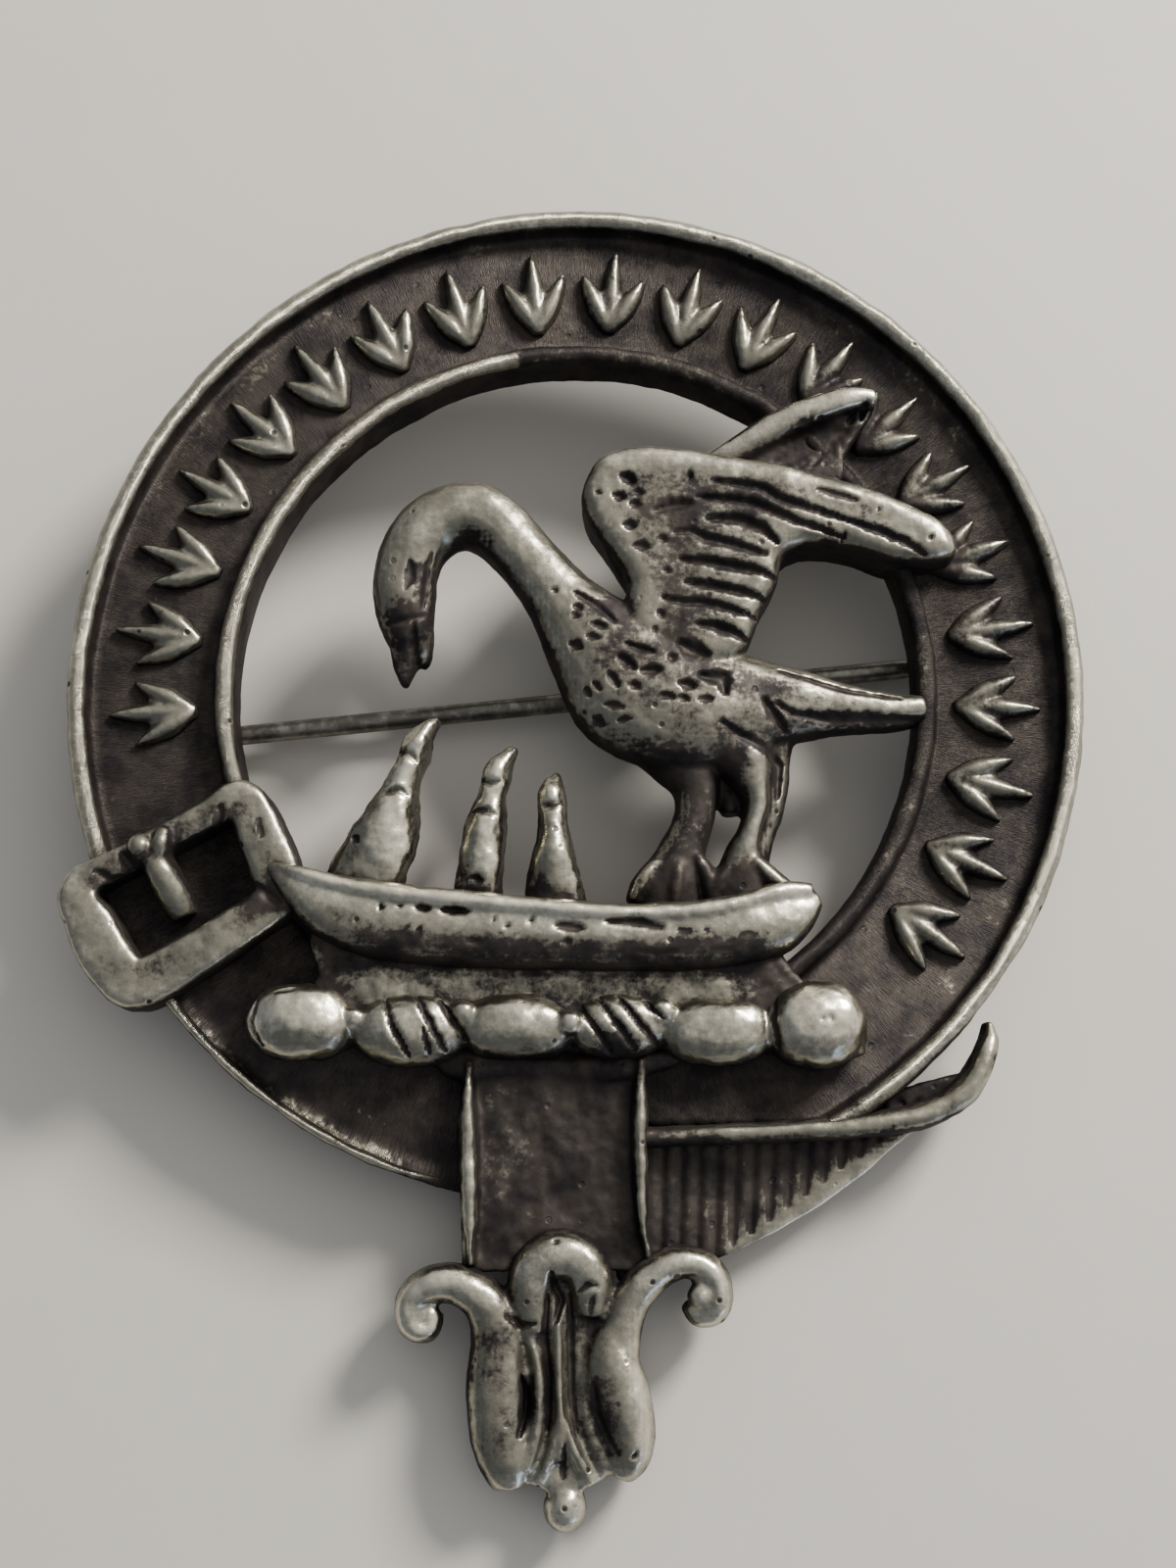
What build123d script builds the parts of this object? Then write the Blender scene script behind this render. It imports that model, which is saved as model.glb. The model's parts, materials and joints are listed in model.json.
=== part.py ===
from build123d import *
import math
import os

# Clan crest badge in cast silver: a strap-and-buckle circlet with an applied crest and a brooch pin.
# It is modelled flat, back on the XY plane, +Y to the top of the crest, then laid on its fittings.
# Lengths are millimetres and angles are degrees.

# Strap circlet
strap_radius = 19.0
strap_width = 6.2
strap_plate = 1.2
rim_width = 0.72
rim_height = 0.95

# Border of leaf sprays on the strap
spray_count = 21
spray_first = 183.0
spray_arc = 218.0
spray_leaf_length = 3.3
spray_side_length = 2.6
spray_leaf_width = 0.85
spray_spread = 28.0
spray_relief = 0.6

# Crest
crest_back = 0.5
crest_relief = 3.6
ground_relief = 1.9

# Buckle and tongue
buckle_angle = 208.5
buckle_skew = 3.0
buckle_length = 6.9
buckle_depth = 5.2
buckle_bar = 1.15
buckle_relief = 2.9
buckle_chamfer = 0.25
tongue_width = 0.92
tongue_length = 2.7
tongue_across = 0.46
tongue_down = 1.56
tongue_relief = 3.13

# Strap tail, its fold and its chape
tail_width = 6.7
tail_offset = -0.75
tail_plate = 1.5
tail_edge = 0.55
tail_edge_height = 2.25
turned_plate = 0.96
fold_width = 0.66
chape_turn = 3.0
chape_relief = 2.5
chape_plate = 1.3
chape_back = 0.25

# Brooch pin, hinge and catch
stem_diameter = 0.75
stem_turn = 5.85
stem_side_offset = 0.2
stem_drop = 1.5
stem_point = 5.0
stem_tip_radius = 0.06
stem_overhang = 0.6
collar_radius = 0.55
collar_reach = 1.5
eye_radius = 0.95
eye_width = 1.2
rivet_radius = 0.36
rivet_head_radius = 0.62
rivet_head = 0.3
rivet_fit = 0.02
eye_fit = 0.05
ear_thickness = 0.7
ear_gap = 0.12
ear_radius = 1.05
fitting_plate = 0.45
hinge_plate_length = 2.73
hinge_outset = 0.2
catch_width = 2.0
catch_wall = 0.4
catch_mouth = 0.55
catch_lip_side = 0.19
catch_room = 0.3

# Worked out from the sizes above
R = strap_radius
opening_radius = strap_radius - strap_width
rim_top = strap_plate + rim_height
band_radius = strap_radius - strap_width / 2
hinge_reach = band_radius + hinge_outset
catch_reach = band_radius
stem_radius = stem_diameter / 2

# Figure: x, y and half width are shares of the strap radius, top is a share of the crest relief.
# One run goes from the beak over the bent neck and through the body to the tip of the tail.
bird_rows = [
    # x, y, half width, top
    (-0.339, 0.018, 0.010, 0.45),
    (-0.334, 0.063, 0.030, 0.60),
    (-0.329, 0.110, 0.049, 0.76),
    (-0.336, 0.168, 0.061, 0.84),
    (-0.338, 0.232, 0.060, 0.84),
    (-0.313, 0.297, 0.060, 0.84),
    (-0.263, 0.342, 0.062, 0.86),
    (-0.208, 0.352, 0.066, 0.88),
    (-0.155, 0.326, 0.062, 0.88),
    (-0.113, 0.284, 0.057, 0.88),
    (-0.066, 0.226, 0.059, 0.90),
    (-0.018, 0.166, 0.068, 0.93),
    (0.039, 0.089, 0.103, 1.00),
    (0.116, 0.008, 0.147, 1.05),
    (0.211, -0.045, 0.132, 1.05),
    (0.311, -0.039, 0.118, 1.00),
    (0.400, -0.034, 0.091, 0.92),
    (0.468, -0.037, 0.071, 0.86),
    (0.553, -0.045, 0.046, 0.80),
    (0.637, -0.045, 0.035, 0.76),
    (0.684, -0.034, 0.013, 0.66),
]
wing_arm_rows = [
    (0.242, 0.047, 0.116, 0.90),
    (0.242, 0.116, 0.137, 0.94),
    (0.247, 0.189, 0.145, 0.96),
    (0.234, 0.263, 0.161, 0.98),
    (0.205, 0.332, 0.168, 1.00),
    (0.158, 0.400, 0.132, 0.98),
    (0.121, 0.447, 0.074, 0.92),
    (0.105, 0.471, 0.026, 0.80),
]
wing_hand_rows = [
    (0.116, 0.384, 0.084, 0.92),
    (0.263, 0.376, 0.092, 0.98),
    (0.421, 0.358, 0.084, 0.97),
    (0.568, 0.324, 0.071, 0.92),
    (0.684, 0.289, 0.053, 0.86),
    (0.747, 0.263, 0.016, 0.76),
]
far_wing_rows = [
    (0.289, 0.411, 0.074, 0.60),
    (0.368, 0.453, 0.084, 0.70),
    (0.463, 0.505, 0.084, 0.74),
    (0.547, 0.558, 0.050, 0.74),
    (0.595, 0.597, 0.012, 0.66),
]
far_leg_rows = [
    (0.225, -0.120, 0.060, 0.72),
    (0.237, -0.200, 0.042, 0.72),
    (0.226, -0.245, 0.035, 0.72),
    (0.202, -0.311, 0.034, 0.72),
    (0.178, -0.383, 0.050, 0.76),
    (0.172, -0.450, 0.060, 0.76),
]
near_leg_rows = [
    (0.345, -0.120, 0.072, 0.84),
    (0.352, -0.200, 0.055, 0.82),
    (0.362, -0.242, 0.041, 0.80),
    (0.348, -0.295, 0.036, 0.80),
    (0.326, -0.346, 0.045, 0.80),
    (0.321, -0.390, 0.062, 0.80),
    (0.321, -0.450, 0.064, 0.80),
]
chick_tables = [
    [
        (-0.305, -0.087, 0.018, 0.60),
        (-0.316, -0.121, 0.031, 0.76),
        (-0.335, -0.182, 0.030, 0.74),
        (-0.347, -0.234, 0.051, 0.76),
        (-0.361, -0.289, 0.058, 0.78),
        (-0.408, -0.366, 0.066, 0.74),
        (-0.421, -0.416, 0.068, 0.70),
    ],
    [
        (-0.144, -0.140, 0.016, 0.58),
        (-0.153, -0.174, 0.029, 0.72),
        (-0.164, -0.237, 0.031, 0.72),
        (-0.176, -0.305, 0.039, 0.76),
        (-0.189, -0.416, 0.045, 0.72),
    ],
    [
        (-0.045, -0.182, 0.016, 0.58),
        (-0.045, -0.216, 0.027, 0.72),
        (-0.045, -0.274, 0.029, 0.72),
        (-0.042, -0.337, 0.042, 0.76),
        (-0.042, -0.420, 0.058, 0.72),
    ],
]
nest_rows = [
    (-0.587, -0.359, 0.008, 0.70),
    (-0.547, -0.387, 0.027, 0.86),
    (-0.484, -0.434, 0.063, 0.98),
    (-0.395, -0.463, 0.076, 1.02),
    (-0.211, -0.474, 0.068, 1.04),
    (0.000, -0.482, 0.062, 1.04),
    (0.211, -0.476, 0.053, 1.02),
    (0.330, -0.468, 0.056, 0.98),
    (0.405, -0.452, 0.054, 0.94),
    (0.448, -0.428, 0.036, 0.86),
    (0.475, -0.407, 0.015, 0.74),
]
ground_corners = [
    (-0.468, -0.500),
    (0.432, -0.463),
    (0.400, -0.540),
    (0.480, -0.640),
    (-0.520, -0.640),
]

# Torse: x, y, half length and half width are shares of the strap radius.
torse_rows = [
    (-0.520, -0.653, 0.090, 0.066),
    (-0.325, -0.667, 0.102, 0.067),
    (-0.113, -0.664, 0.097, 0.058),
    (0.079, -0.658, 0.086, 0.056),
    (0.281, -0.676, 0.092, 0.058),
    (0.453, -0.664, 0.084, 0.074),
]
torse_core_share = 0.036
torse_height_share = 0.52

# Tail of the strap: its top end and its length, in shares of the strap radius.
tail_top_share = -0.72
tail_length_share = 0.42

# Fold of the strap at the lower right: the ridge's centre line, in shares of the strap radius.
fold_line = [
    (0.778, -0.668),
    (0.780, -0.720),
    (0.742, -0.788),
    (0.682, -0.826),
    (0.600, -0.842),
    (0.480, -0.850),
    (0.110, -0.856),
]
turned_corners = [
    (0.782, -0.660),
    (0.784, -0.735),
    (0.738, -0.800),
    (0.640, -0.862),
    (0.455, -1.008),
    (0.275, -1.098),
    (0.060, -1.150),
    (0.060, -0.760),
    (0.600, -0.600),
]

beyond_corners = [
    (0.790, -0.665),
    (1.200, -0.665),
    (1.200, -1.300),
    (-0.212, -1.300),
    (-0.212, -0.860),
    (0.480, -0.856),
    (0.682, -0.832),
    (0.745, -0.795),
]

# Chape, in its own frame: down is -y, shares of the strap radius, top is a share of its relief.
chape_drop_share = 1.045
chape_hood_rows = [
    (-0.048, -0.175, 0.026, 0.90),
    (-0.052, -0.100, 0.027, 0.98),
    (-0.050, -0.045, 0.027, 1.00),
    (-0.026, -0.014, 0.027, 1.02),
    (0.010, -0.008, 0.027, 1.02),
    (0.040, -0.036, 0.027, 1.00),
    (0.047, -0.090, 0.027, 0.98),
    (0.045, -0.165, 0.026, 0.90),
]
chape_lobe_rows = [
    (0.270, -0.118, 0.040, 0.84),
    (0.238, -0.080, 0.032, 0.90),
    (0.190, -0.075, 0.031, 0.94),
    (0.140, -0.112, 0.036, 0.96),
    (0.112, -0.170, 0.048, 0.98),
    (0.116, -0.235, 0.060, 1.00),
    (0.124, -0.305, 0.066, 1.00),
    (0.122, -0.375, 0.055, 0.96),
    (0.112, -0.435, 0.024, 0.84),
]
chape_head_share = (0.266, -0.122, 0.048)
chape_spike_rows = [
    (0.000, -0.125, 0.014, 0.74),
    (0.000, -0.225, 0.024, 0.84),
    (0.000, -0.330, 0.032, 0.90),
    (0.000, -0.385, 0.040, 0.92),
    (0.000, -0.440, 0.034, 0.94),
]
chape_ball_share = (0.000, -0.490, 0.060, 0.043)
chape_ball_height_share = 0.5
chape_plate_corners = [
    (-0.075, -0.020),
    (0.075, -0.020),
    (0.150, -0.200),
    (0.150, -0.350),
    (0.060, -0.440),
    (0.000, -0.500),
    (-0.060, -0.440),
    (-0.150, -0.350),
    (-0.150, -0.200),
]


def limb(rows, relief, back):
    """Lofts oval sections along a path; each row is x, y, half width and top, above the back."""
    places = [Vector(x * R, y * R, 0) for x, y, _, _ in rows]
    sections = []
    for i, (_, _, half_width, top) in enumerate(rows):
        along = (places[min(i + 1, len(rows) - 1)] - places[max(i - 1, 0)]).normalized()
        across = Vector(-along.Y, along.X, 0)
        rise = (top * relief - back) / 2
        middle = places[i] + Vector(0, 0, back + rise)
        with BuildSketch(Plane(middle, x_dir=across, z_dir=along)) as section:
            Ellipse(half_width * R, rise)
        sections.append(section.sketch)
    loft(sections)


def oval(x, y, half_length, half_width, height, along):
    """Turns a pointed oval about its own length; its lengths are shares of the strap radius."""
    side = Plane((x * R, y * R, height), x_dir=along, z_dir=Vector(along).cross(Vector(0, 0, 1)))
    with BuildSketch(side) as half:
        with BuildLine():
            ThreePointArc((-half_length * R, 0), (0, half_width * R), (half_length * R, 0))
            Line((half_length * R, 0), (-half_length * R, 0))
        make_face()
    revolve(half.sketch, axis=Axis(side.origin, along))


def slab(corners, bottom, top):
    """Extrudes a straight-sided outline, given in shares of the strap radius."""
    with BuildSketch(Plane.XY.offset(bottom)) as outline:
        with BuildLine():
            Polyline([(x * R, y * R) for x, y in corners], close=True)
        make_face()
    extrude(outline.sketch, amount=top - bottom)


# Circlet: a flat strap bent into a ring, with a rounded rim along each edge.
with BuildPart() as circlet:
    with BuildSketch(Plane.XZ) as strap_section:
        with BuildLine():
            rim_spring = rim_top - rim_width / 2
            outer_inside = strap_radius - rim_width
            inner_outside = opening_radius + rim_width
            Polyline(
                (outer_inside, rim_spring),
                (outer_inside, strap_plate),
                (inner_outside, strap_plate),
                (inner_outside, rim_spring),
            )
            ThreePointArc(
                (inner_outside, rim_spring),
                (opening_radius + rim_width / 2, rim_top),
                (opening_radius, rim_spring),
            )
            Polyline(
                (opening_radius, rim_spring),
                (opening_radius, 0),
                (strap_radius, 0),
                (strap_radius, rim_spring),
            )
            ThreePointArc(
                (strap_radius, rim_spring),
                (strap_radius - rim_width / 2, rim_top),
                (outer_inside, rim_spring),
            )
        make_face()
    revolve(axis=Axis.Z)

# The strap's face is cut down past the fold, where only its turned back shows.
with BuildPart() as beyond_fold:
    slab(beyond_corners, turned_plate, rim_top)

with BuildPart() as turned_strap:
    slab(turned_corners, 0, turned_plate)

with BuildPart() as fold_ridge:
    with BuildSketch(Plane.XY.offset(turned_plate / 2)) as fold_stroke:
        with BuildLine():
            Spline([(x * R, y * R) for x, y in fold_line])
        trace(line_width=fold_width)
    extrude(amount=tail_edge_height - turned_plate / 2)


def leaf(length, width, turn):
    """Adds a pointed leaf to the sketch, its stalk at the origin, turned about it."""
    bow = (length**2 + width**2) / (4 * width)
    with BuildSketch() as blade:
        with Locations((length / 2, width / 2 - bow)):
            Circle(bow)
        with Locations((length / 2, bow - width / 2)):
            Circle(bow, mode=Mode.INTERSECT)
    add(blade.sketch, rotation=turn)


# One spray: three leaves that open from the inner rim.
with BuildPart() as spray:
    with BuildSketch(Plane.XY.offset(strap_plate / 2)) as spray_outline:
        with Locations((band_radius - spray_leaf_length / 2, 0)):
            leaf(spray_leaf_length, spray_leaf_width, 0)
            leaf(spray_side_length, spray_leaf_width, spray_spread)
            leaf(spray_side_length, spray_leaf_width, -spray_spread)
    extrude(amount=strap_plate / 2 + spray_relief)

# Buckle frame across the strap, with its tongue lying over the outer bar.
with BuildPart() as buckle:
    with BuildSketch(Plane.XY.offset(strap_plate / 2)) as frame:
        RectangleRounded(buckle_length, buckle_depth, buckle_bar / 2)
        Rectangle(buckle_length - 2 * buckle_bar, buckle_depth - 2 * buckle_bar, mode=Mode.SUBTRACT)
    extrude(amount=buckle_relief - strap_plate / 2)
    chamfer(buckle.faces().sort_by(Axis.Z)[-1].edges(), length=buckle_chamfer)
    with BuildSketch(Plane.XY.offset(strap_plate / 2)) as tongue:
        with Locations((tongue_across, -tongue_down)):
            SlotOverall(tongue_length, tongue_width, rotation=90)
    extrude(amount=tongue_relief - strap_plate / 2)

# Strap tail: a plain end with a raised edge down each side.
tail_length = tail_length_share * R
tail_middle = tail_top_share * R - tail_length / 2
with BuildPart() as tail:
    with BuildSketch(Plane.XY) as tail_outline:
        with Locations((tail_offset, tail_middle)):
            Rectangle(tail_width, tail_length)
    extrude(amount=tail_plate)
    with BuildSketch(Plane.XY) as tail_edges:
        with Locations((tail_offset, tail_middle)):
            with GridLocations(tail_width - tail_edge, 0, 2, 1):
                Rectangle(tail_edge, tail_length)
    extrude(amount=tail_edge_height)

# Chape: two lobes that end in volutes, a hood over them and a spike with a ball.
with BuildPart() as chape_side:
    limb(chape_lobe_rows, chape_relief, chape_back)
    head_x, head_y, head_radius = chape_head_share
    with Locations((head_x * R, head_y * R, chape_back + head_radius * R)):
        Sphere(head_radius * R)

with BuildPart() as chape:
    slab(chape_plate_corners, 0, chape_plate)
    limb(chape_spike_rows, chape_relief, chape_back)
    oval(*chape_ball_share, chape_ball_height_share * chape_relief, (0, 1, 0))
    add(chape_side.part)
    add(chape_side.part.mirror(Plane.YZ))
    limb(chape_hood_rows, chape_relief, chape_back)

# Figure of the bird, feeding three chicks in their nest.
with BuildPart() as bird:
    limb(bird_rows, crest_relief, crest_back)
    limb(wing_arm_rows, crest_relief, crest_back)
    limb(wing_hand_rows, crest_relief, crest_back)
    limb(far_wing_rows, crest_relief, crest_back)
    limb(far_leg_rows, crest_relief, crest_back)
    limb(near_leg_rows, crest_relief, crest_back)

with BuildPart() as nest:
    slab(ground_corners, crest_back, ground_relief)
    limb(nest_rows, crest_relief, crest_back)
    for chick_rows in chick_tables:
        limb(chick_rows, crest_relief, crest_back)

# Torse: six twists of a wreath on one core, each turned about its own length.
with BuildPart() as torse:
    for x, y, half_length, half_width in torse_rows:
        oval(x, y, half_length, half_width, torse_height_share * crest_relief, (1, 0, 0))
    first_x, first_y = torse_rows[0][:2]
    last_x, last_y = torse_rows[-1][:2]
    core_start = Vector(first_x * R, first_y * R, torse_height_share * crest_relief)
    core_end = Vector(last_x * R, last_y * R, torse_height_share * crest_relief)
    with BuildSketch(Plane(core_start, z_dir=core_end - core_start)) as core:
        Circle(torse_core_share * R)
    extrude(core.sketch, amount=(core_end - core_start).length)

# The pin's own frame: x runs along the stem, z points away from the back.
pin_plane = Plane((0, stem_side_offset, 0), x_dir=Vector(1, 0, 0).rotate(Axis.Z, stem_turn), z_dir=(0, 0, 1))
rivet_length = eye_width + 2 * ear_gap + 2 * ear_thickness

with BuildPart() as hinge:
    with BuildSketch(Plane.XY) as hinge_base:
        with Locations((-hinge_reach, 0)):
            Rectangle(hinge_plate_length, rivet_length)
    extrude(amount=-fitting_plate)
    ear_plane = Plane((-hinge_reach, 0, -stem_drop), x_dir=(1, 0, 0), z_dir=(0, 1, 0))
    with BuildSketch(ear_plane.offset(-rivet_length / 2)) as ear:
        Circle(ear_radius)
        with Locations((0, -stem_drop / 2)):
            Rectangle(2 * ear_radius, stem_drop)
        Circle(rivet_radius + rivet_fit, mode=Mode.SUBTRACT)
    extrude(amount=ear_thickness)
    with BuildSketch(ear_plane.offset(rivet_length / 2 - ear_thickness)) as other_ear:
        add(ear.sketch_local)
    extrude(amount=ear_thickness)

# Catch: an open hook; the stem lies in its mouth, beside the lip.
with BuildPart() as catch:
    hook_side = catch_mouth + stem_radius + catch_wall
    hook_low = stem_drop + stem_radius + catch_room + catch_wall
    lip_side = stem_radius + catch_lip_side
    with BuildSketch(Plane.YZ.offset(catch_reach - catch_width / 2)) as hook:
        with BuildLine():
            Polyline(
                (-stem_radius - catch_wall, 0),
                (hook_side, 0),
                (hook_side, -hook_low),
                (lip_side, -hook_low),
                (lip_side, -hook_low + catch_wall),
                (hook_side - catch_wall, -hook_low + catch_wall),
                (hook_side - catch_wall, -fitting_plate),
                (-stem_radius - catch_wall, -fitting_plate),
                close=True,
            )
        make_face()
    extrude(amount=catch_width)

# Stem: a turned wire with a collar at the hinge and a long point at the catch, and an eye across it.
stem_length = hinge_reach + catch_reach + catch_width / 2 + stem_overhang
with BuildPart() as stem:
    with BuildSketch(Plane((0, 0, -stem_drop), x_dir=(1, 0, 0), z_dir=(0, -1, 0))) as wire:
        with BuildLine():
            Polyline(
                (-hinge_reach, 0),
                (-hinge_reach, collar_radius),
                (collar_reach - hinge_reach, collar_radius),
                (collar_reach - hinge_reach, stem_radius),
                (stem_length - stem_point - hinge_reach, stem_radius),
                (stem_length - hinge_reach, stem_tip_radius),
                (stem_length - hinge_reach, 0),
                close=True,
            )
        make_face()
    revolve(axis=Axis((0, 0, -stem_drop), (1, 0, 0)))
    with BuildSketch(ear_plane.offset(-eye_width / 2)) as eye:
        Circle(eye_radius)
    extrude(amount=eye_width)
    with BuildSketch(ear_plane.offset(-eye_width / 2)) as eye_hole:
        Circle(rivet_radius + eye_fit)
    extrude(amount=eye_width, mode=Mode.SUBTRACT)

with BuildPart() as rivet:
    with BuildSketch(ear_plane.offset(-rivet_length / 2)) as shank:
        Circle(rivet_radius)
    extrude(amount=rivet_length)
    with BuildSketch(ear_plane.offset(-rivet_length / 2)) as low_head:
        Circle(rivet_head_radius)
    extrude(amount=-rivet_head)
    with BuildSketch(ear_plane.offset(rivet_length / 2)) as high_head:
        Circle(rivet_head_radius)
    extrude(amount=rivet_head)

chape_place = Location((tail_offset, -chape_drop_share * R, 0), (0, 0, chape_turn))

# Everything soldered or cast together is one solid.
with BuildPart() as flat_badge:
    add(circlet.part)
    add(beyond_fold.part, mode=Mode.SUBTRACT)
    add([turned_strap.part, fold_ridge.part, tail.part])
    with Locations(chape_place):
        add(chape.part)
    with PolarLocations(0, spray_count, spray_first, -spray_arc, endpoint=True):
        add(spray.part)
    with PolarLocations(band_radius, 1, buckle_angle):
        add(buckle.part, rotation=(0, 0, buckle_skew))
    add([nest.part, bird.part, torse.part])
    with Locations(pin_plane.location):
        add([hinge.part, catch.part])

# The badge lies on its hinge, its catch and the tip of the chape.
hinge_foot = pin_plane.from_local_coords((-hinge_reach, -rivet_length / 2, -stem_drop - ear_radius))
catch_foot = pin_plane.from_local_coords((catch_reach, lip_side, -hook_low))
plate_tip = min(y for _, y in chape_plate_corners) * R
tip_foot = (chape_place * Location((0, plate_tip, 0))).position
floor_normal = (tip_foot - hinge_foot).cross(catch_foot - hinge_foot)
floor_plane = Plane(hinge_foot, x_dir=(1, 0, 0), z_dir=floor_normal)
upright = floor_plane.location.inverse()
laid_box = flat_badge.part.moved(upright).bounding_box()
laid_centre = laid_box.center()
resting = Location((-laid_centre.X, -laid_centre.Y, -laid_box.min.Z)) * upright

os.makedirs("parts", exist_ok=True)

with BuildPart() as crest_badge:
    with Locations(resting):
        add(flat_badge.part)
crest_badge.part.label = "crest_badge"
export_step(crest_badge.part, "parts/crest_badge.step")

with BuildPart() as pin_stem:
    with Locations(resting * pin_plane.location):
        add(stem.part)
pin_stem.part.label = "pin_stem"
export_step(pin_stem.part, "parts/pin_stem.step")

with BuildPart() as hinge_rivet:
    with Locations(resting * pin_plane.location):
        add(rivet.part)
hinge_rivet.part.label = "hinge_rivet"
export_step(hinge_rivet.part, "parts/hinge_rivet.step")
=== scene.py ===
import json
import math

import bmesh
import bpy
import numpy as np
from bpy.props import FloatProperty, FloatVectorProperty, IntProperty, PointerProperty
from mathutils import Matrix, Vector, noise

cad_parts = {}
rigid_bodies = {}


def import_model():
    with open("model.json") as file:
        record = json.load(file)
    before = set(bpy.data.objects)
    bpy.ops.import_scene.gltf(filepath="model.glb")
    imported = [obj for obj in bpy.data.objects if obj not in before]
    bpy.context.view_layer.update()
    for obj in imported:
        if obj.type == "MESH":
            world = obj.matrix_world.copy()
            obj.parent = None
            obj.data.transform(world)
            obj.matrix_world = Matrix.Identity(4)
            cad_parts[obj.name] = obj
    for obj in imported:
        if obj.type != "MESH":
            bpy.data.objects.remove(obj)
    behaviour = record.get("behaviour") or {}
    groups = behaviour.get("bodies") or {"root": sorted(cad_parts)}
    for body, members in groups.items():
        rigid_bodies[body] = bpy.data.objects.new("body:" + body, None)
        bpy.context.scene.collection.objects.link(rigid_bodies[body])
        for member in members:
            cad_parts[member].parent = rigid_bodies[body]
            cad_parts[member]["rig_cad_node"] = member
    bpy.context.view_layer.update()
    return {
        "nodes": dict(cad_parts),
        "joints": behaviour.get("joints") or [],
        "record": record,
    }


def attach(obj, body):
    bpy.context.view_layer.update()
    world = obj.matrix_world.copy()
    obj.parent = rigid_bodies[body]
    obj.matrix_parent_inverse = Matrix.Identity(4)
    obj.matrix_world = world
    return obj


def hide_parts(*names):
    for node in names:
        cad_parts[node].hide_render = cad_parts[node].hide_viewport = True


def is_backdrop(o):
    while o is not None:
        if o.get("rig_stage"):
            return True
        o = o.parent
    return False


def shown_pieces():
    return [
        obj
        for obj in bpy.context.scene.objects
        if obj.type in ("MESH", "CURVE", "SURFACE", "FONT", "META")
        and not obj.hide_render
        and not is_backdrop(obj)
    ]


for default_object in list(bpy.data.objects):
    bpy.data.objects.remove(default_object)
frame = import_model()

bl_info = {
    "name": "Clan crest badge",
    "version": (1, 0, 0),
    "blender": (4, 5, 0),
    "location": "View3D > Sidebar > Crest badge",
    "description": "Dresses the packed crest badge as cast silver, blackened and worn",
    "category": "Object",
}

# Every table is flat and in parts: a part is a hundredth of the strap's radius, 0.19 mm.
# The strap's centre is the origin, its back is z = 0 and +y points to the top of the crest.
# A back is the height from which a form rises, a lift is how far it starts in front of its
# piece's back, and a shoulder is the radius of a rounded edge.
PART_COUNT = 100.0

# The pin's stem climbs to the right by this much across the back of the strap.
PIN_TURN = math.radians(5.85)
# Pieces soldered to the back reach this many parts into it.
SUNK = 1.0

# Figure, from the crown over the bent neck and through the body to the tip of the tail.
FIGURE_ROWS = [
    # x, y, half width, top
    (-32.4, 9.0, 4.4, 14.2), (-33.3, 13.5, 5.6, 15.4), (-33.7, 18.5, 6.3, 16.2),
    (-33.6, 23.4, 6.3, 16.4), (-31.4, 29.4, 6.4, 16.6), (-26.8, 33.8, 6.6, 16.8),
    (-20.9, 35.1, 6.7, 17.0), (-15.6, 32.5, 6.4, 17.0), (-11.3, 28.0, 6.1, 17.1),
    (-6.6, 22.4, 6.3, 17.4), (-1.9, 16.2, 7.6, 18.0), (3.9, 8.8, 10.6, 19.0),
    (11.6, 0.8, 14.4, 19.8), (20.6, -4.4, 13.2, 19.8), (30.0, -4.2, 11.4, 18.8),
    (38.5, -3.6, 8.6, 17.2), (46.5, -3.9, 6.6, 16.0), (55.3, -4.5, 4.5, 15.0),
    (63.5, -4.6, 3.5, 14.2), (68.4, -4.0, 2.6, 13.4),
]
UPPER_BILL_ROWS = [
    (-33.7, 0.9, 0.8, 9.4), (-33.6, 4.0, 2.3, 11.4), (-33.2, 7.6, 3.6, 13.0),
    (-32.6, 11.6, 4.6, 14.4),
]
LOWER_BILL_ROWS = [
    (-29.8, 4.8, 0.8, 9.0), (-30.0, 7.4, 1.9, 11.0), (-30.6, 11.0, 2.8, 12.8),
]
BILL_LIFT = 2.0

# Wings, seen from the front. The near one has a round shoulder to a flat top.
WING_TOP = 18.2
WING_SHOULDER = 3.4
NEAR_WING_OUTLINE = [
    (9.6, 14.8), (10.5, 19.6), (7.3, 25.3), (3.0, 31.6), (1.2, 37.2), (2.2, 41.8), (4.8, 45.4),
    (9.5, 47.3), (14.6, 47.8), (19.8, 47.2), (27.2, 46.2), (34.8, 45.1), (42.2, 43.8), (49.6, 41.5),
    (57.1, 39.2), (64.4, 36.4), (69.8, 33.6), (73.4, 30.6), (74.9, 27.2), (73.6, 24.9),
    (67.9, 23.7), (61.6, 24.0), (56.0, 26.2), (50.0, 27.6), (44.5, 27.4), (40.6, 25.2),
    (39.8, 21.4), (38.3, 17.8), (36.0, 13.8), (34.6, 9.6), (30.0, 4.0), (20.0, 2.0), (12.0, 6.0),
]
FAR_WING_EDGE_ROWS = [
    (24.0, 43.6, 3.0, 12.4), (31.4, 47.4, 3.3, 14.0), (39.1, 52.2, 3.4, 15.2),
    (47.5, 56.0, 3.2, 15.8), (54.4, 58.2, 2.8, 15.8), (59.8, 58.4, 2.2, 15.0),
]
FAR_WING_TOP = 12.0
FAR_WING_SHOULDER = 1.0
FAR_WING_BLADE_OUTLINE = [
    (24.0, 42.0), (31.0, 47.6), (39.0, 52.6), (47.5, 57.0), (56.0, 58.8), (59.8, 57.2),
    (57.6, 53.2), (53.6, 47.0), (52.0, 40.0), (36.0, 40.0),
]

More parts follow.
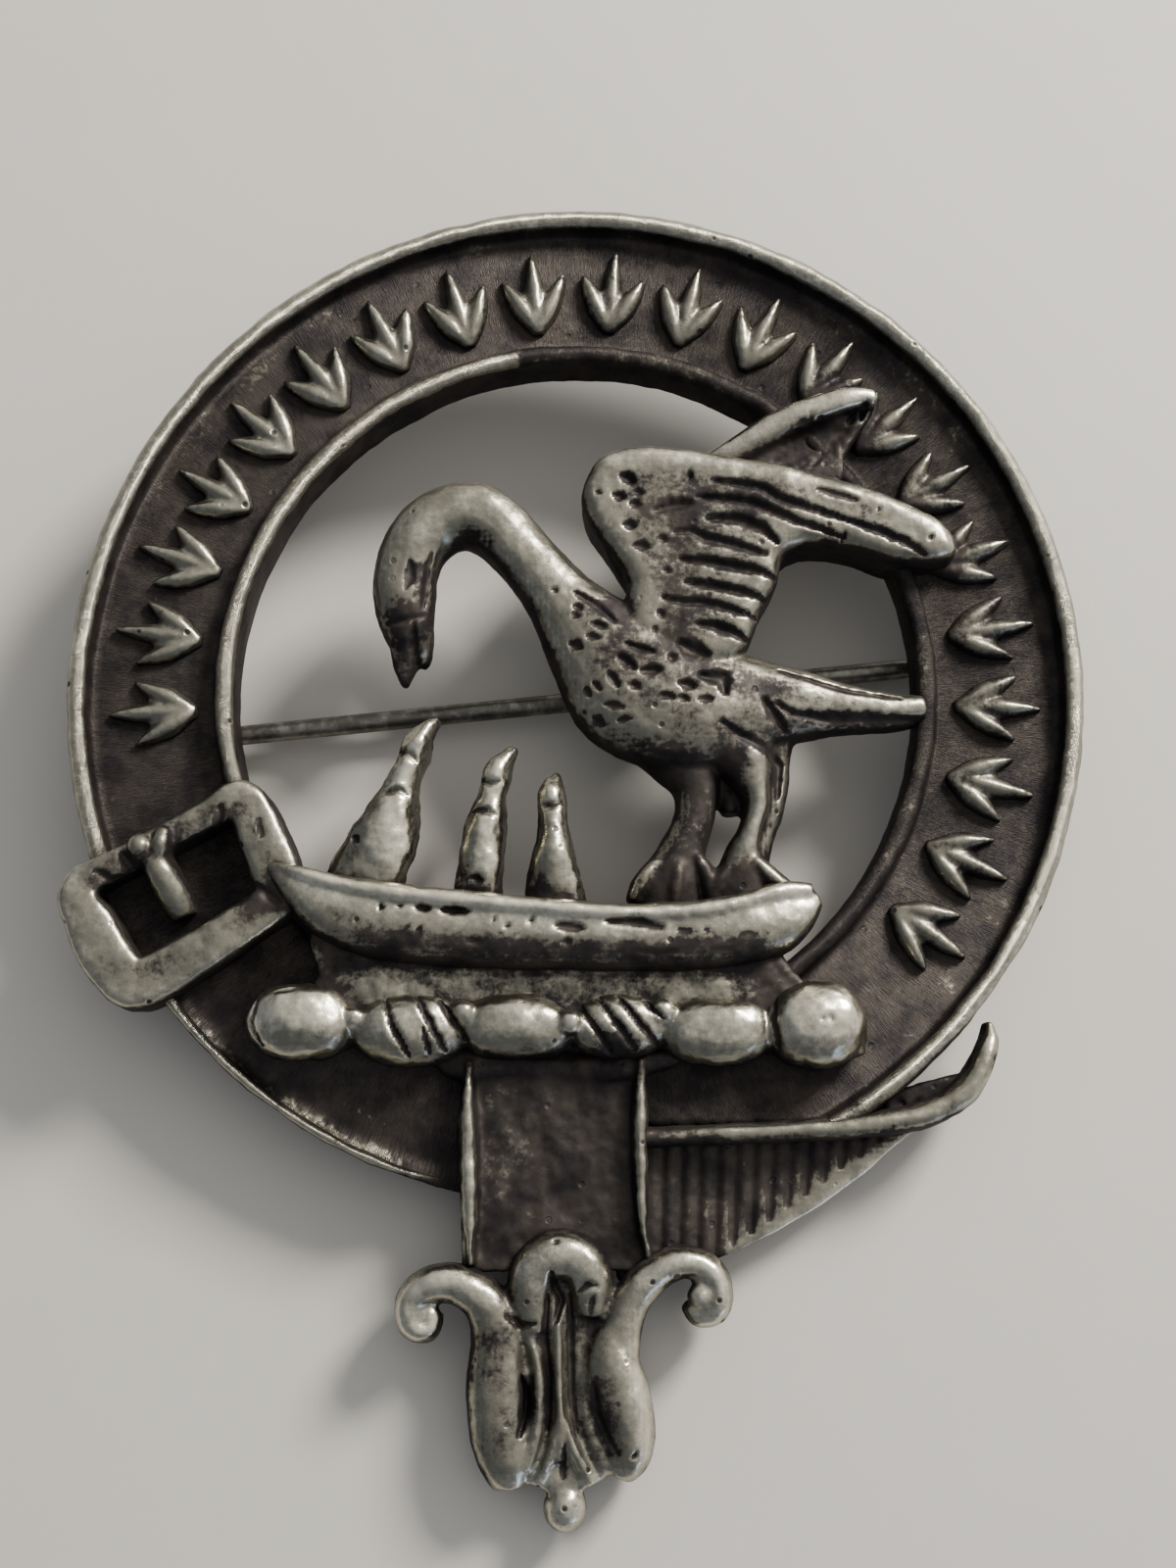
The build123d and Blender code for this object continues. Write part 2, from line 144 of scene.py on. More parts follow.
# Legs, from the body down, and the five toes that show.
FAR_LEG_ROWS = [
    (17.0, -8.0, 9.0, 16.0), (20.6, -13.6, 7.2, 15.4), (23.2, -18.6, 5.2, 14.6),
    (23.4, -23.4, 4.1, 14.0), (22.2, -28.4, 4.1, 14.0), (20.4, -33.4, 4.8, 14.2),
    (19.0, -37.6, 6.0, 14.2), (18.4, -44.0, 7.0, 13.4),
]
NEAR_LEG_ROWS = [
    (29.0, -8.0, 9.2, 17.6), (32.6, -13.6, 6.6, 17.2), (34.4, -18.6, 4.4, 16.6),
    (35.2, -23.6, 2.8, 16.0), (33.9, -28.8, 2.6, 15.6), (32.6, -33.2, 3.8, 15.4),
    (32.4, -37.4, 5.6, 15.4), (32.2, -44.0, 6.6, 14.8),
]
# Thin metal left between the legs and behind the near one.
WEB_TABLES = [
    [(40.0, -8.0, 3.8, 12.6), (38.8, -13.0, 3.4, 12.2), (38.6, -18.0, 3.2, 12.0),
     (37.8, -23.4, 3.0, 12.2), (36.4, -28.6, 2.8, 12.4), (35.2, -34.4, 2.4, 12.6)],
    [(30.0, -14.0, 4.4, 11.4), (30.3, -19.0, 3.8, 10.8), (30.4, -24.8, 1.8, 9.8)],
]
FOOT_TABLES = [
    [(15.8, -34.6, 1.4, 13.8), (12.9, -38.4, 1.8, 14.2), (10.8, -42.2, 1.3, 13.0)],
    [(20.0, -35.0, 1.6, 14.8), (19.4, -39.4, 2.0, 15.2), (18.8, -43.8, 1.5, 14.2)],
    [(23.4, -33.6, 1.4, 14.4), (25.4, -37.2, 1.9, 14.6), (26.4, -42.6, 1.4, 13.6)],
    [(30.2, -35.4, 1.5, 15.0), (27.8, -38.4, 1.8, 15.0), (26.4, -42.4, 1.4, 13.8)],
    [(34.4, -34.6, 1.8, 15.6), (38.0, -38.2, 2.2, 15.8), (41.8, -40.4, 1.4, 14.8)],
]

# Nest, seen from the side as a shallow boat, on a rough ground.
NEST_BODY_ROWS = [
    (-59.4, -35.2, 0.8, 14.4), (-55.6, -38.2, 2.8, 16.8), (-50.6, -41.8, 4.8, 18.0),
    (-44.0, -45.2, 6.3, 18.4), (-34.0, -47.4, 6.9, 18.6), (-18.0, -48.6, 6.8, 18.8),
    (0.0, -49.4, 6.4, 18.8), (14.0, -49.8, 6.2, 18.8), (26.0, -49.0, 6.4, 18.6),
    (34.2, -47.4, 6.8, 18.2), (40.0, -45.4, 6.0, 17.2), (44.0, -43.4, 4.0, 16.0),
    (46.8, -41.8, 1.8, 14.8),
]
NEST_LIP_ROWS = [
    (-58.6, -35.2, 0.7, 15.0), (-52.0, -37.6, 1.4, 18.4), (-44.0, -39.8, 1.9, 18.8),
    (-32.7, -41.6, 2.1, 19.2), (-17.8, -43.2, 2.2, 19.4), (-1.4, -44.6, 2.2, 19.4),
    (12.0, -45.4, 2.2, 19.4), (23.2, -44.8, 2.2, 19.2), (32.4, -43.0, 2.2, 18.6),
    (39.6, -40.8, 2.0, 17.6), (45.4, -40.6, 1.4, 16.0),
]
LIP_LIFT = 8.0
GROUND_TOP = 12.6
GROUND_SHOULDER = 0.8
GROUND_OUTLINE = [
    (-50.0, -46.0), (-20.0, -46.0), (10.0, -46.0), (41.0, -45.0), (39.6, -50.0), (41.4, -56.0),
    (48.0, -63.0), (30.0, -67.0), (0.0, -67.0), (-30.0, -67.0), (-52.0, -66.0), (-49.0, -56.0),
]
CHICK_TABLES = [
    [(-29.6, -8.4, 1.7, 12.2), (-30.8, -11.4, 2.9, 14.2), (-32.4, -15.4, 2.7, 14.0),
     (-33.9, -19.6, 3.6, 14.4), (-35.2, -24.6, 5.2, 15.2), (-37.2, -30.6, 6.4, 15.6),
     (-40.4, -37.6, 7.6, 14.4), (-42.0, -42.0, 8.0, 13.2)],
    [(-13.6, -13.9, 1.5, 11.8), (-15.2, -16.6, 2.9, 13.6), (-16.2, -21.6, 2.9, 13.6),
     (-17.2, -27.4, 3.9, 14.6), (-18.4, -34.6, 4.3, 14.4), (-19.0, -42.0, 5.0, 13.2)],
    [(-4.4, -18.0, 1.7, 12.0), (-4.5, -21.4, 2.8, 13.6), (-4.4, -26.8, 2.9, 13.8),
     (-4.2, -32.6, 4.1, 14.4), (-4.0, -38.2, 5.4, 14.0), (-3.8, -43.0, 6.4, 13.2)],
]
CHICK_BILL_LIFT = 3.0
CHICK_BILL_TABLES = [
    [(-26.6, -6.0, 0.8, 11.0), (-28.6, -8.2, 1.7, 13.0), (-30.6, -11.6, 2.3, 14.8)],
    [(-11.8, -12.0, 0.8, 10.6), (-13.4, -14.4, 1.5, 12.4), (-15.4, -18.0, 2.0, 14.0)],
    [(-3.4, -16.6, 0.8, 10.6), (-3.8, -18.6, 1.4, 12.2), (-4.5, -22.0, 1.8, 13.8)],
]

# Wreath: six twists on one core.
TWIST_ROWS = [
    # x, y, half length, half width
    (-52.2, -65.4, 10.4, 7.5), (-31.6, -66.8, 11.4, 7.0), (-11.2, -66.2, 11.4, 6.6),
    (8.0, -66.0, 9.8, 6.3), (27.0, -67.2, 11.2, 6.6), (45.8, -66.0, 10.0, 8.4),
]
TWIST_MIDDLE = 9.8
# A twist reaches this share of its half width behind its middle.
TWIST_DEPTH = 0.8
TWIST_SECTIONS = [
    # share of the half length, share of the half width
    (-1.0, 0.28), (-0.82, 0.62), (-0.5, 0.9), (0.0, 1.0), (0.5, 0.92), (0.82, 0.66), (1.0, 0.3),
]
CORE_HALF_WIDTH = 3.4
CORE_RISE = 2.6
CORE_DEPTH = 4.0
NIB_ROWS = [
    # x, y, middle height, radius
    (-42.0, -64.6, 13.6, 1.9), (-21.4, -63.6, 13.6, 2.3), (-0.9, -65.4, 14.0, 2.4),
    (16.8, -63.4, 13.4, 2.4), (54.0, -70.6, 10.8, 1.6),
]
# Solder that joins the wreath to the tail.
SOLDER_BACK = 4.0
SOLDER_ROWS = [
    (-27.0, -71.0, 2.0, 8.6), (-21.0, -73.4, 3.4, 9.8), (-12.0, -73.0, 3.0, 9.4),
    (-2.0, -74.0, 2.8, 9.0), (8.0, -73.6, 3.0, 9.6), (14.0, -72.6, 2.6, 9.4),
    (20.0, -71.4, 1.6, 8.4),
]

# Tail, fold and turned strap at the lower right.
TAIL_BACK = 1.1
TAIL_TOP = 7.9
TAIL_EDGE_BACK = 3.0
TAIL_EDGE_TABLES = [
    [(-20.0, -73.0, 0.8, 11.0), (-20.4, -80.0, 1.7, 12.2), (-20.2, -90.0, 2.1, 12.6),
     (-19.8, -100.0, 1.6, 12.2), (-19.6, -111.0, 0.9, 10.8)],
    [(12.6, -72.0, 1.0, 11.0), (12.2, -82.0, 1.5, 12.0), (12.4, -92.0, 1.6, 12.2),
     (12.6, -102.0, 1.2, 11.8), (13.8, -109.5, 0.8, 10.6)],
]
TAIL_OUTLINE = [
    (-21.6, -66.0), (13.6, -66.0), (13.6, -80.0), (13.8, -112.0), (-21.4, -112.0), (-21.6, -80.0),
]
FOLD_BACK = 1.2
FOLD_ROWS = [
    (79.6, -65.0, 0.8, 8.2), (79.2, -69.5, 2.0, 10.8), (75.6, -77.0, 2.6, 12.2),
    (69.0, -81.8, 2.7, 12.2), (60.0, -84.2, 2.5, 12.0), (48.0, -85.4, 2.3, 11.6),
    (30.0, -86.4, 2.1, 11.2), (11.0, -87.2, 1.9, 10.8),
]
TURNED_OUTLINE = [
    (77.0, -74.0), (72.0, -80.6), (64.0, -86.6), (55.0, -94.0), (45.5, -100.6), (35.5, -106.2),
    (27.5, -109.6), (16.0, -113.0), (8.0, -113.6), (8.0, -80.0), (40.0, -80.0), (62.0, -78.0),
]
TURNED_BACK = 1.0
TURNED_TOP = 5.3
TURNED_SHOULDER = 0.5
# Ribs of the turned strap. They run down from one height to its slanting lower edge.
RIB_COUNT = 16
RIB_FIRST = 17.0
RIB_PITCH = 3.5
RIB_WIDTH = 1.2
RIB_DEPTH = 0.6
RIB_START = -80.0
RIB_LOWEST = -118.0
LOWER_EDGE_PLACE = (73.5, -77.4)
LOWER_EDGE_SLOPE = 0.7

# Chape: an open loop, two lobes with volutes, a forked spike and a ball.
CHAPE_PLATE_TOP = 10.4
CHAPE_PLATE_SHOULDER = 1.2
CHAPE_PLATE_OUTLINE = [
    (-10.0, -110.0), (5.0, -110.0), (8.0, -120.0), (12.6, -130.0), (12.6, -140.0), (8.0, -147.4),
    (-1.8, -152.0), (-11.0, -148.4), (-16.8, -141.0), (-17.4, -128.0), (-12.0, -118.0),
]
CHAPE_LIMB_LIFT = 0.4
CHAPE_LIMB_TABLES = [
    # Hood: an arch over the top
    [(-7.4, -123.0, 3.2, 11.8), (-8.4, -117.4, 4.2, 13.2), (-7.8, -112.2, 4.7, 14.0),
     (-5.2, -109.4, 4.8, 14.4), (-1.6, -108.8, 4.9, 14.4), (1.6, -110.6, 4.7, 14.2),
     (3.0, -114.6, 4.4, 13.6), (2.8, -120.0, 3.6, 12.4)],
    # Left arm, from its volute to the lobe
    [(-25.8, -119.4, 1.3, 10.6), (-27.4, -122.6, 2.2, 11.4), (-30.4, -121.8, 2.8, 12.0),
     (-30.8, -117.8, 3.2, 12.4), (-27.8, -114.7, 3.5, 12.8), (-23.0, -114.0, 3.8, 13.2),
     (-18.2, -116.2, 4.2, 13.4), (-15.2, -120.2, 4.8, 13.2), (-14.4, -125.0, 5.0, 13.0)],
    # Left lobe
    [(-14.2, -121.0, 4.4, 12.6), (-14.4, -127.0, 5.2, 13.4), (-14.6, -134.0, 5.8, 13.8),
     (-13.8, -141.0, 5.8, 13.6), (-12.6, -147.0, 5.0, 12.8), (-11.8, -151.0, 3.4, 11.2)],
    [(-8.6, -123.4, 1.3, 11.4), (-6.8, -129.0, 1.5, 12.0), (-6.6, -136.0, 1.7, 12.2),
     (-7.4, -142.0, 2.0, 12.2), (-9.6, -147.4, 2.4, 12.0)],
    # Right arm, from its volute to the lobe
    [(21.0, -118.0, 1.2, 9.6), (23.6, -120.4, 2.0, 11.0), (26.6, -118.8, 2.6, 12.0),
     (27.0, -114.6, 2.9, 12.4), (24.4, -111.2, 3.1, 12.6), (20.0, -110.2, 3.3, 12.8),
     (15.2, -112.0, 3.5, 12.8), (11.4, -115.8, 3.7, 12.8), (9.0, -120.6, 4.0, 13.0),
     (7.8, -126.0, 4.4, 13.0)],
    # Right lobe
    [(7.2, -122.0, 3.8, 12.6), (7.0, -128.0, 5.2, 13.8), (8.2, -134.4, 5.9, 14.2),
     (9.6, -140.4, 5.4, 13.8), (9.6, -145.6, 4.6, 12.8), (8.0, -149.0, 2.8, 11.0)],
    [(1.8, -130.0, 1.2, 10.8), (1.9, -136.0, 1.5, 11.2), (3.4, -142.0, 1.8, 11.4),
     (6.0, -147.4, 2.2, 11.4)],
    # Spike and its fork
    [(-3.4, -113.0, 1.1, 10.6), (-3.2, -120.0, 1.5, 11.6), (-3.0, -130.0, 1.4, 12.0),
     (-2.5, -140.0, 1.4, 12.4), (-2.4, -146.0, 1.6, 12.0)],
    [(-2.8, -138.0, 1.2, 12.0), (-4.4, -144.4, 1.5, 12.2), (-6.8, -150.6, 1.5, 11.0)],
    [(-2.0, -138.0, 1.2, 12.0), (0.2, -144.4, 1.6, 12.4), (3.4, -150.2, 1.6, 11.0)],
]
VOLUTE_HEADS = [
    # x, y, middle height, radius
    (-27.6, -120.0, 8.8, 2.5), (23.8, -116.2, 9.4, 2.9),
]
CHAPE_BALL = (-1.8, -154.4, 7.8, 4.1)
CHAPE_BALL_STRETCH = (1, 1.15, 1)

# Buckle: its frame and the tongue.
BUCKLE_BACK = 1.2
TONGUE_BACK = 6.0
BUCKLE_ROWS = [
    (-95.2, -42.0, 3.9, 14.8), (-94.2, -38.4, 3.6, 14.4), (-90.6, -36.4, 3.1, 14.6),
    (-79.4, -30.6, 2.9, 14.8), (-69.4, -24.8, 3.1, 14.8), (-65.6, -22.8, 3.6, 14.8),
    (-63.0, -23.8, 4.0, 15.0), (-60.0, -30.8, 4.8, 15.2), (-57.0, -38.2, 4.6, 14.6),
    (-56.8, -41.6, 4.2, 14.4), (-60.0, -44.4, 3.9, 14.6), (-69.6, -50.8, 4.3, 15.0),
    (-80.8, -57.4, 4.8, 15.0), (-85.0, -58.0, 4.9, 15.2), (-88.4, -54.4, 5.1, 15.4),
    (-92.8, -46.8, 4.8, 15.4),
]
TONGUE_TABLES = [
    [(-75.0, -45.4, 2.4, 12.0), (-76.6, -42.0, 3.2, 14.2), (-79.0, -37.4, 3.3, 16.0),
     (-81.0, -34.0, 2.6, 16.6)],
    [(-80.0, -35.0, 2.1, 16.0), (-79.2, -31.6, 2.2, 17.4), (-78.6, -28.6, 1.7, 16.4)],
    [(-82.4, -34.4, 2.2, 16.2), (-83.4, -32.2, 2.8, 17.6), (-83.8, -29.8, 2.2, 16.2)],
]

# Cuts, piece by piece. Each has a width, a depth and the points that it runs through.
FIGURE_CUTS = [
    # Long feather lines of the near wing
    (0.95, 1.15, [(26.9, 40.0), (36.7, 38.4), (39.7, 36.2), (44.8, 34.6), (53.0, 31.9)]),
    (0.95, 1.15, [(53.0, 31.9), (61.1, 28.8), (64.7, 27.2), (68.2, 25.0)]),
    (0.95, 1.2, [(23.8, 36.5), (29.5, 36.2), (34.6, 35.4), (43.8, 31.4), (51.6, 28.8)]),
    (0.75, 0.7, [(47.5, 38.1), (50.0, 37.3), (55.1, 35.9)]),
    (1.2, 1.5, [(25.8, 32.3), (32.0, 32.0), (36.6, 30.2), (39.4, 27.4)]),
    (1.1, 1.0, [(19.6, 29.4), (22.7, 29.6), (25.3, 28.1), (31.4, 26.7), (37.0, 25.0)]),
    (1.15, 1.4, [(20.6, 24.0), (25.2, 23.5), (31.3, 22.4), (36.4, 21.4), (39.4, 20.2)]),
    (1.05, 1.4, [(21.5, 19.5), (26.2, 18.7), (31.3, 17.6), (34.8, 16.9), (37.4, 15.6)]),
    (1.0, 1.2, [(17.0, 16.3), (20.1, 15.4), (25.2, 15.2), (29.2, 14.2), (35.0, 12.4)]),
    (1.15, 1.2, [(23.6, 11.1), (27.1, 10.5), (30.2, 9.3), (33.6, 8.0)]),
    (1.9, 1.4, [(20.3, 7.2), (22.4, 5.9), (25.4, 5.0)]),
    (1.3, 0.9, [(18.4, 4.4), (18.9, 3.6)]),
    (1.5, 1.0, [(15.6, 33.7), (18.6, 34.7), (22.4, 35.2)]),
    (0.9, 1.2, [(52.2, 28.6), (52.6, 28.5)]),
    (0.7, 0.8, [(69.1, 28.3), (69.5, 28.1)]),
    (0.6, 0.6, [(59.2, 34.1), (59.4, 34.0)]),
    # Punch marks of the shoulder
    (1.3, 1.2, [(9.3, 41.0), (11.4, 39.6)]),
    (1.2, 1.1, [(7.8, 37.1), (9.4, 36.4)]),
    (0.9, 0.9, [(10.8, 35.3), (12.6, 34.8)]),
    (0.8, 0.8, [(11.7, 37.6), (13.2, 37.3)]),
    (1.1, 1.0, [(9.6, 31.0), (11.6, 30.6)]),
    (1.0, 0.9, [(11.2, 26.8), (14.2, 26.4)]),
    (0.6, 0.6, [(4.1, 37.6), (4.9, 37.3)]),
    (1.1, 1.2, [(22.2, 40.9), (22.5, 40.9)]),
    (0.8, 0.8, [(16.3, 28.2), (17.8, 27.7)]),
    (0.7, 0.8, [(17.3, 21.9), (18.3, 21.4)]),
    (0.7, 0.8, [(16.0, 13.4), (17.2, 12.4)]),
    (0.6, 0.6, [(15.0, 10.1), (15.8, 9.6)]),
    # Feather marks of the breast and body
    (0.9, 0.8, [(-0.2, 14.6), (1.2, 13.9)]),
    (0.8, 0.7, [(-0.5, 12.9), (0.5, 12.4)]),
    (0.8, 0.9, [(3.4, 10.9), (5.8, 10.1)]),
    (0.8, 0.8, [(2.4, 8.4), (4.6, 7.9)]),
    (1.2, 1.0, [(-0.8, 7.0), (1.0, 6.2)]),
    (0.9, 1.0, [(9.9, 6.9), (12.6, 5.7), (15.0, 5.2)]),
    (1.1, 1.2, [(8.4, 4.3), (10.2, 2.9), (11.4, 1.9)]),
    (1.2, 1.1, [(12.9, 1.3), (16.4, 1.6)]),
    (0.9, 1.0, [(6.5, 0.9), (8.3, -1.6)]),
    (0.9, 0.9, [(10.6, -1.3), (12.4, -1.9)]),
    (0.8, 0.8, [(3.6, -0.8), (4.8, -2.3)]),
    (0.8, 0.7, [(2.0, -1.8), (2.9, -3.3)]),
    (1.2, 1.2, [(20.2, -1.1), (22.9, -1.7)]),
    (1.7, 1.5, [(24.4, 0.5), (28.4, 0.0), (28.8, -2.6)]),
    (0.8, 0.9, [(16.4, -3.5), (19.1, -4.0)]),
    (0.8, 0.8, [(19.9, -3.8), (21.7, -4.4)]),
    (0.8, 0.8, [(23.9, -4.2), (26.3, -4.2)]),
    (0.8, 0.6, [(5.8, -5.0), (9.2, -5.7)]),
    (0.8, 0.6, [(8.2, -8.2), (10.6, -7.9)]),
    (1.1, 0.6, [(3.6, -7.3), (5.6, -8.8)]),
    (0.8, 0.7, [(-4.4, 18.1), (-3.6, 17.6)]),
    (0.9, 0.8, [(0.0, 17.4), (3.4, 15.1), (7.6, 11.4)]),
    # Eye and the line of the bill
    (1.2, 0.6, [(-32.3, 24.0), (-32.2, 21.0), (-33.0, 18.6)]),
    (0.8, 0.7, [(-28.2, 26.0), (-29.0, 23.0), (-29.4, 19.0), (-29.8, 15.0)]),
    (0.8, 0.7, [(-37.0, 12.0), (-33.2, 12.4), (-29.6, 13.4)]),
    (0.9, 1.3, [(-31.0, 4.0), (-31.7, 8.0), (-31.6, 12.0)]),
    # Ridges of the tail
    (0.7, 0.8, [(39.4, 2.3), (44.5, 0.8), (52.1, -1.4), (63.2, -3.0)]),
    (1.3, 1.1, [(39.0, -4.6), (42.0, -6.4), (49.5, -7.2), (58.0, -7.0), (66.5, -6.8)]),
    (1.1, 1.0, [(28.1, -8.3), (31.0, -10.4), (36.4, -13.0), (39.6, -15.6), (39.2, -22.0)]),
    (1.2, 1.2, [(36.4, -3.9), (38.6, -7.0), (40.6, -9.6)]),
    (0.9, 0.9, [(46.0, -10.4), (49.6, -10.0)]),
]
FAR_WING_CUTS = [
    (4.2, 1.2, [(41.0, 45.6), (47.0, 49.4), (53.4, 52.0)]),
    (0.8, 1.6, [(54.2, 53.4), (55.8, 55.8)]),
    (0.8, 1.8, [(57.0, 54.6), (58.0, 57.4)]),
    (0.6, 1.0, [(47.0, 44.6), (50.6, 49.0)]),
]
NEST_CUTS = [
    (0.9, 1.2, [(-36.8, -44.2), (-36.5, -44.2)]),
    (0.9, 1.2, [(-33.2, -43.9), (-32.9, -43.9)]),
    (0.9, 1.1, [(-29.8, -44.2), (-27.6, -44.4)]),
    (0.9, 1.1, [(-25.4, -44.6), (-20.0, -45.1)]),
    (0.8, 0.8, [(-15.5, -46.8), (-15.1, -46.9)]),
    (0.8, 0.8, [(-12.9, -47.7), (-12.5, -47.8)]),
    (0.9, 0.9, [(-8.5, -46.8), (-8.0, -46.9)]),
    (1.2, 0.9, [(-3.6, -47.7), (1.6, -48.3)]),
    (1.2, 0.9, [(6.0, -46.9), (12.0, -46.9), (16.4, -48.1)]),
    (0.8, 0.8, [(-29.6, -48.4), (-29.2, -48.6)]),
    (0.9, 0.8, [(-2.1, -50.7), (-1.0, -50.8)]),
    (0.7, 0.4, [(19.4, -48.4), (20.4, -48.8), (22.0, -48.6)]),
    (0.6, 0.3, [(24.6, -48.4), (25.4, -48.6)]),
    (0.7, 0.3, [(31.0, -49.8), (32.4, -49.2), (34.0, -49.4)]),
    (0.8, 0.3, [(12.0, -52.6), (16.0, -53.0), (19.0, -52.6)]),
    (0.8, 0.3, [(25.6, -52.4), (29.6, -52.2)]),
    (0.7, 0.6, [(-20.4, -50.6), (-17.8, -51.0)]),
]
CHICK_CUTS = [
    (0.9, 0.9, [(-34.4, -12.8), (-32.2, -13.8), (-30.8, -15.4)]),
    (1.0, 0.9, [(-36.6, -21.6), (-34.0, -21.0), (-32.4, -22.0)]),
    (0.9, 0.8, [(-42.6, -30.0), (-41.6, -31.0)]),
    (0.9, 0.9, [(-18.2, -18.6), (-16.4, -19.6), (-14.8, -19.0)]),
    (0.9, 0.8, [(-19.6, -25.0), (-17.0, -25.0), (-15.2, -26.0)]),
    (1.0, 1.0, [(-19.8, -38.0), (-18.0, -38.6)]),
    (0.9, 0.9, [(-6.2, -23.6), (-4.4, -24.2), (-2.8, -23.6)]),
]
TWIST_CUTS = [
    (0.6, 0.7, [(-60.4, -61.6), (-61.4, -65.6), (-59.0, -70.0)]),
    (0.4, 0.4, [(-57.0, -60.0), (-53.0, -59.4)]),
    (0.8, 1.3, [(-36.6, -59.8), (-35.6, -62.6), (-34.4, -66.6), (-31.2, -72.0)]),
    (0.8, 1.3, [(-30.4, -60.0), (-28.6, -63.4), (-26.8, -67.0), (-24.4, -71.0)]),
    (0.6, 0.8, [(-28.6, -66.7), (-27.4, -71.4)]),
    (0.8, 1.2, [(-25.6, -61.6), (-22.6, -66.0), (-20.4, -68.8)]),
    (0.8, 1.3, [(0.0, -61.4), (3.4, -66.0), (7.0, -71.6)]),
    (0.8, 1.3, [(4.2, -60.8), (7.8, -65.8), (11.4, -70.8)]),
    (0.8, 1.3, [(8.2, -60.8), (12.0, -65.6), (15.9, -70.0)]),
    (0.7, 1.0, [(13.2, -61.6), (16.8, -65.0)]),
    (0.7, 0.8, [(38.2, -60.6), (37.6, -65.0), (38.6, -71.0)]),
    (0.5, 0.5, [(46.4, -64.4), (46.8, -65.4)]),
    (0.5, 0.5, [(48.0, -64.2), (48.3, -65.4)]),
]
CHAPE_CUTS = [
    (0.8, 1.6, [(-4.4, -111.6), (-3.8, -114.4), (-2.6, -117.0), (-3.6, -121.0)]),
    (0.7, 0.9, [(-5.0, -116.0), (-5.6, -123.0), (-4.8, -132.0), (-5.0, -141.0)]),
    (0.7, 0.9, [(-1.0, -116.0), (-0.8, -124.0), (-0.6, -134.0), (0.4, -141.0)]),
    (1.0, 2.4, [(-9.8, -131.0), (-9.0, -134.0), (-9.4, -138.6), (-10.2, -141.0)]),
    (0.8, 0.8, [(3.4, -132.0), (4.4, -137.4), (6.4, -142.0), (8.0, -144.4)]),
    (0.5, 0.6, [(-4.0, -106.4), (-2.8, -106.2)]),
    (0.7, 0.8, [(10.8, -145.0), (11.4, -144.2)]),
    (0.7, 0.8, [(0.8, -115.4), (2.4, -114.0), (4.4, -114.4)]),
    (0.6, 0.7, [(3.4, -116.0), (2.8, -119.4)]),
    (0.7, 0.9, [(-12.8, -119.8), (-9.8, -121.6), (-7.4, -121.2)]),
    (0.6, 0.8, [(-1.9, -143.0), (-2.2, -149.6)]),
]
BUCKLE_CUTS = [
    (1.3, 1.2, [(-86.8, -33.6), (-84.6, -36.4), (-82.8, -37.4)]),
    (1.0, 1.0, [(-91.8, -36.8), (-89.0, -38.4), (-86.6, -38.0)]),
    (0.9, 0.8, [(-68.0, -24.2), (-68.8, -28.4), (-70.6, -30.0)]),
    (1.1, 0.7, [(-61.0, -39.4), (-58.6, -41.4), (-56.4, -42.8)]),
    (0.8, 0.6, [(-64.4, -43.0), (-62.4, -41.4)]),
    (0.6, 0.5, [(-60.8, -26.6), (-60.0, -30.0)]),
]

# Stains, rubbed places and painted light and shade. Each has a width, a strength and the points
# that it runs through. The strength takes wear away where it is positive, and adds it where it
# is negative; painted shade has a positive strength and a painted highlight a negative one.
LEAF_STAINS = [
    (16.0, 0.06, [(70.0, 50.0), (86.0, 10.0), (76.0, -44.0)]),
    (16.0, -0.12, [(-84.0, -6.0), (-76.0, 36.0), (-50.0, 68.0), (-10.0, 84.0)]),
]
TAIL_SHADOW_ON_RING = [
    # Painted shadow on the band beside the left edge of the tail.
    (5.0, 0.6, [(-25.0, -98.0), (-24.0, -84.0)]),
    (4.0, 0.3, [(-31.0, -96.0), (-29.0, -92.0)]),
]
FIGURE_STAINS_AND_SHADE = [
    # Bill and face
    (4.6, 0.5, [(-32.6, 12.0), (-32.8, 2.0)]),
    (2.4, 0.35, [(-30.0, 22.0), (-30.0, 13.0)]),
    (3.0, 0.2, [(-37.6, 20.0), (-35.0, 12.0)]),
    # Painted shade on the underside of the neck and breast
    (2.4, 0.4, [(-22.0, 29.0), (-17.5, 26.5), (-13.0, 21.0), (-8.6, 13.0), (-5.6, 3.0)]),
    (4.6, 0.42, [(-6.4, 4.0), (-3.4, -6.0), (3.0, -12.4), (12.0, -15.0), (19.0, -17.4)]),
    # Lower feathers, and painted shade along the root and the lower edges of the wing
    (6.0, -0.08, [(27.0, 30.0), (28.0, 20.0), (28.5, 8.0)]),
    (2.6, 0.2, [(39.0, 25.0), (37.6, 16.0), (36.0, 11.0)]),
    (3.0, 0.3, [(47.0, 28.0), (58.0, 25.6), (68.0, 24.0)]),
    (2.8, 0.36, [(2.0, 44.0), (0.6, 38.0), (2.5, 31.0), (8.6, 22.0), (8.0, 15.0)]),
    (2.4, 0.14, [(14.0, 33.6), (18.0, 34.6), (22.0, 32.0)]),
    # Painted shade under the tail and behind the thigh
    (2.4, 0.26, [(44.0, -9.6), (54.0, -8.8), (66.0, -7.0)]),
    (3.0, 0.2, [(40.6, -10.0), (41.6, -16.0), (40.0, -24.0), (38.0, -31.0)]),
    # Rubbed places
    (2.4, -0.16, [(8.0, 44.6), (20.0, 45.0), (38.0, 43.0), (56.0, 37.6), (70.0, 31.0)]),
    (3.2, -0.14, [(8.0, 30.0), (13.0, 20.0), (14.0, 10.0)]),
    (2.4, -0.14, [(-30.0, 30.0), (-22.0, 35.0), (-14.0, 31.6), (-2.0, 18.6)]),
    (3.0, 0.12, [(34.0, 0.0), (44.0, -2.6), (56.0, -4.6)]),
    (9.0, -0.08, [(16.0, -6.0), (26.0, -8.0), (30.0, -14.0)]),
]
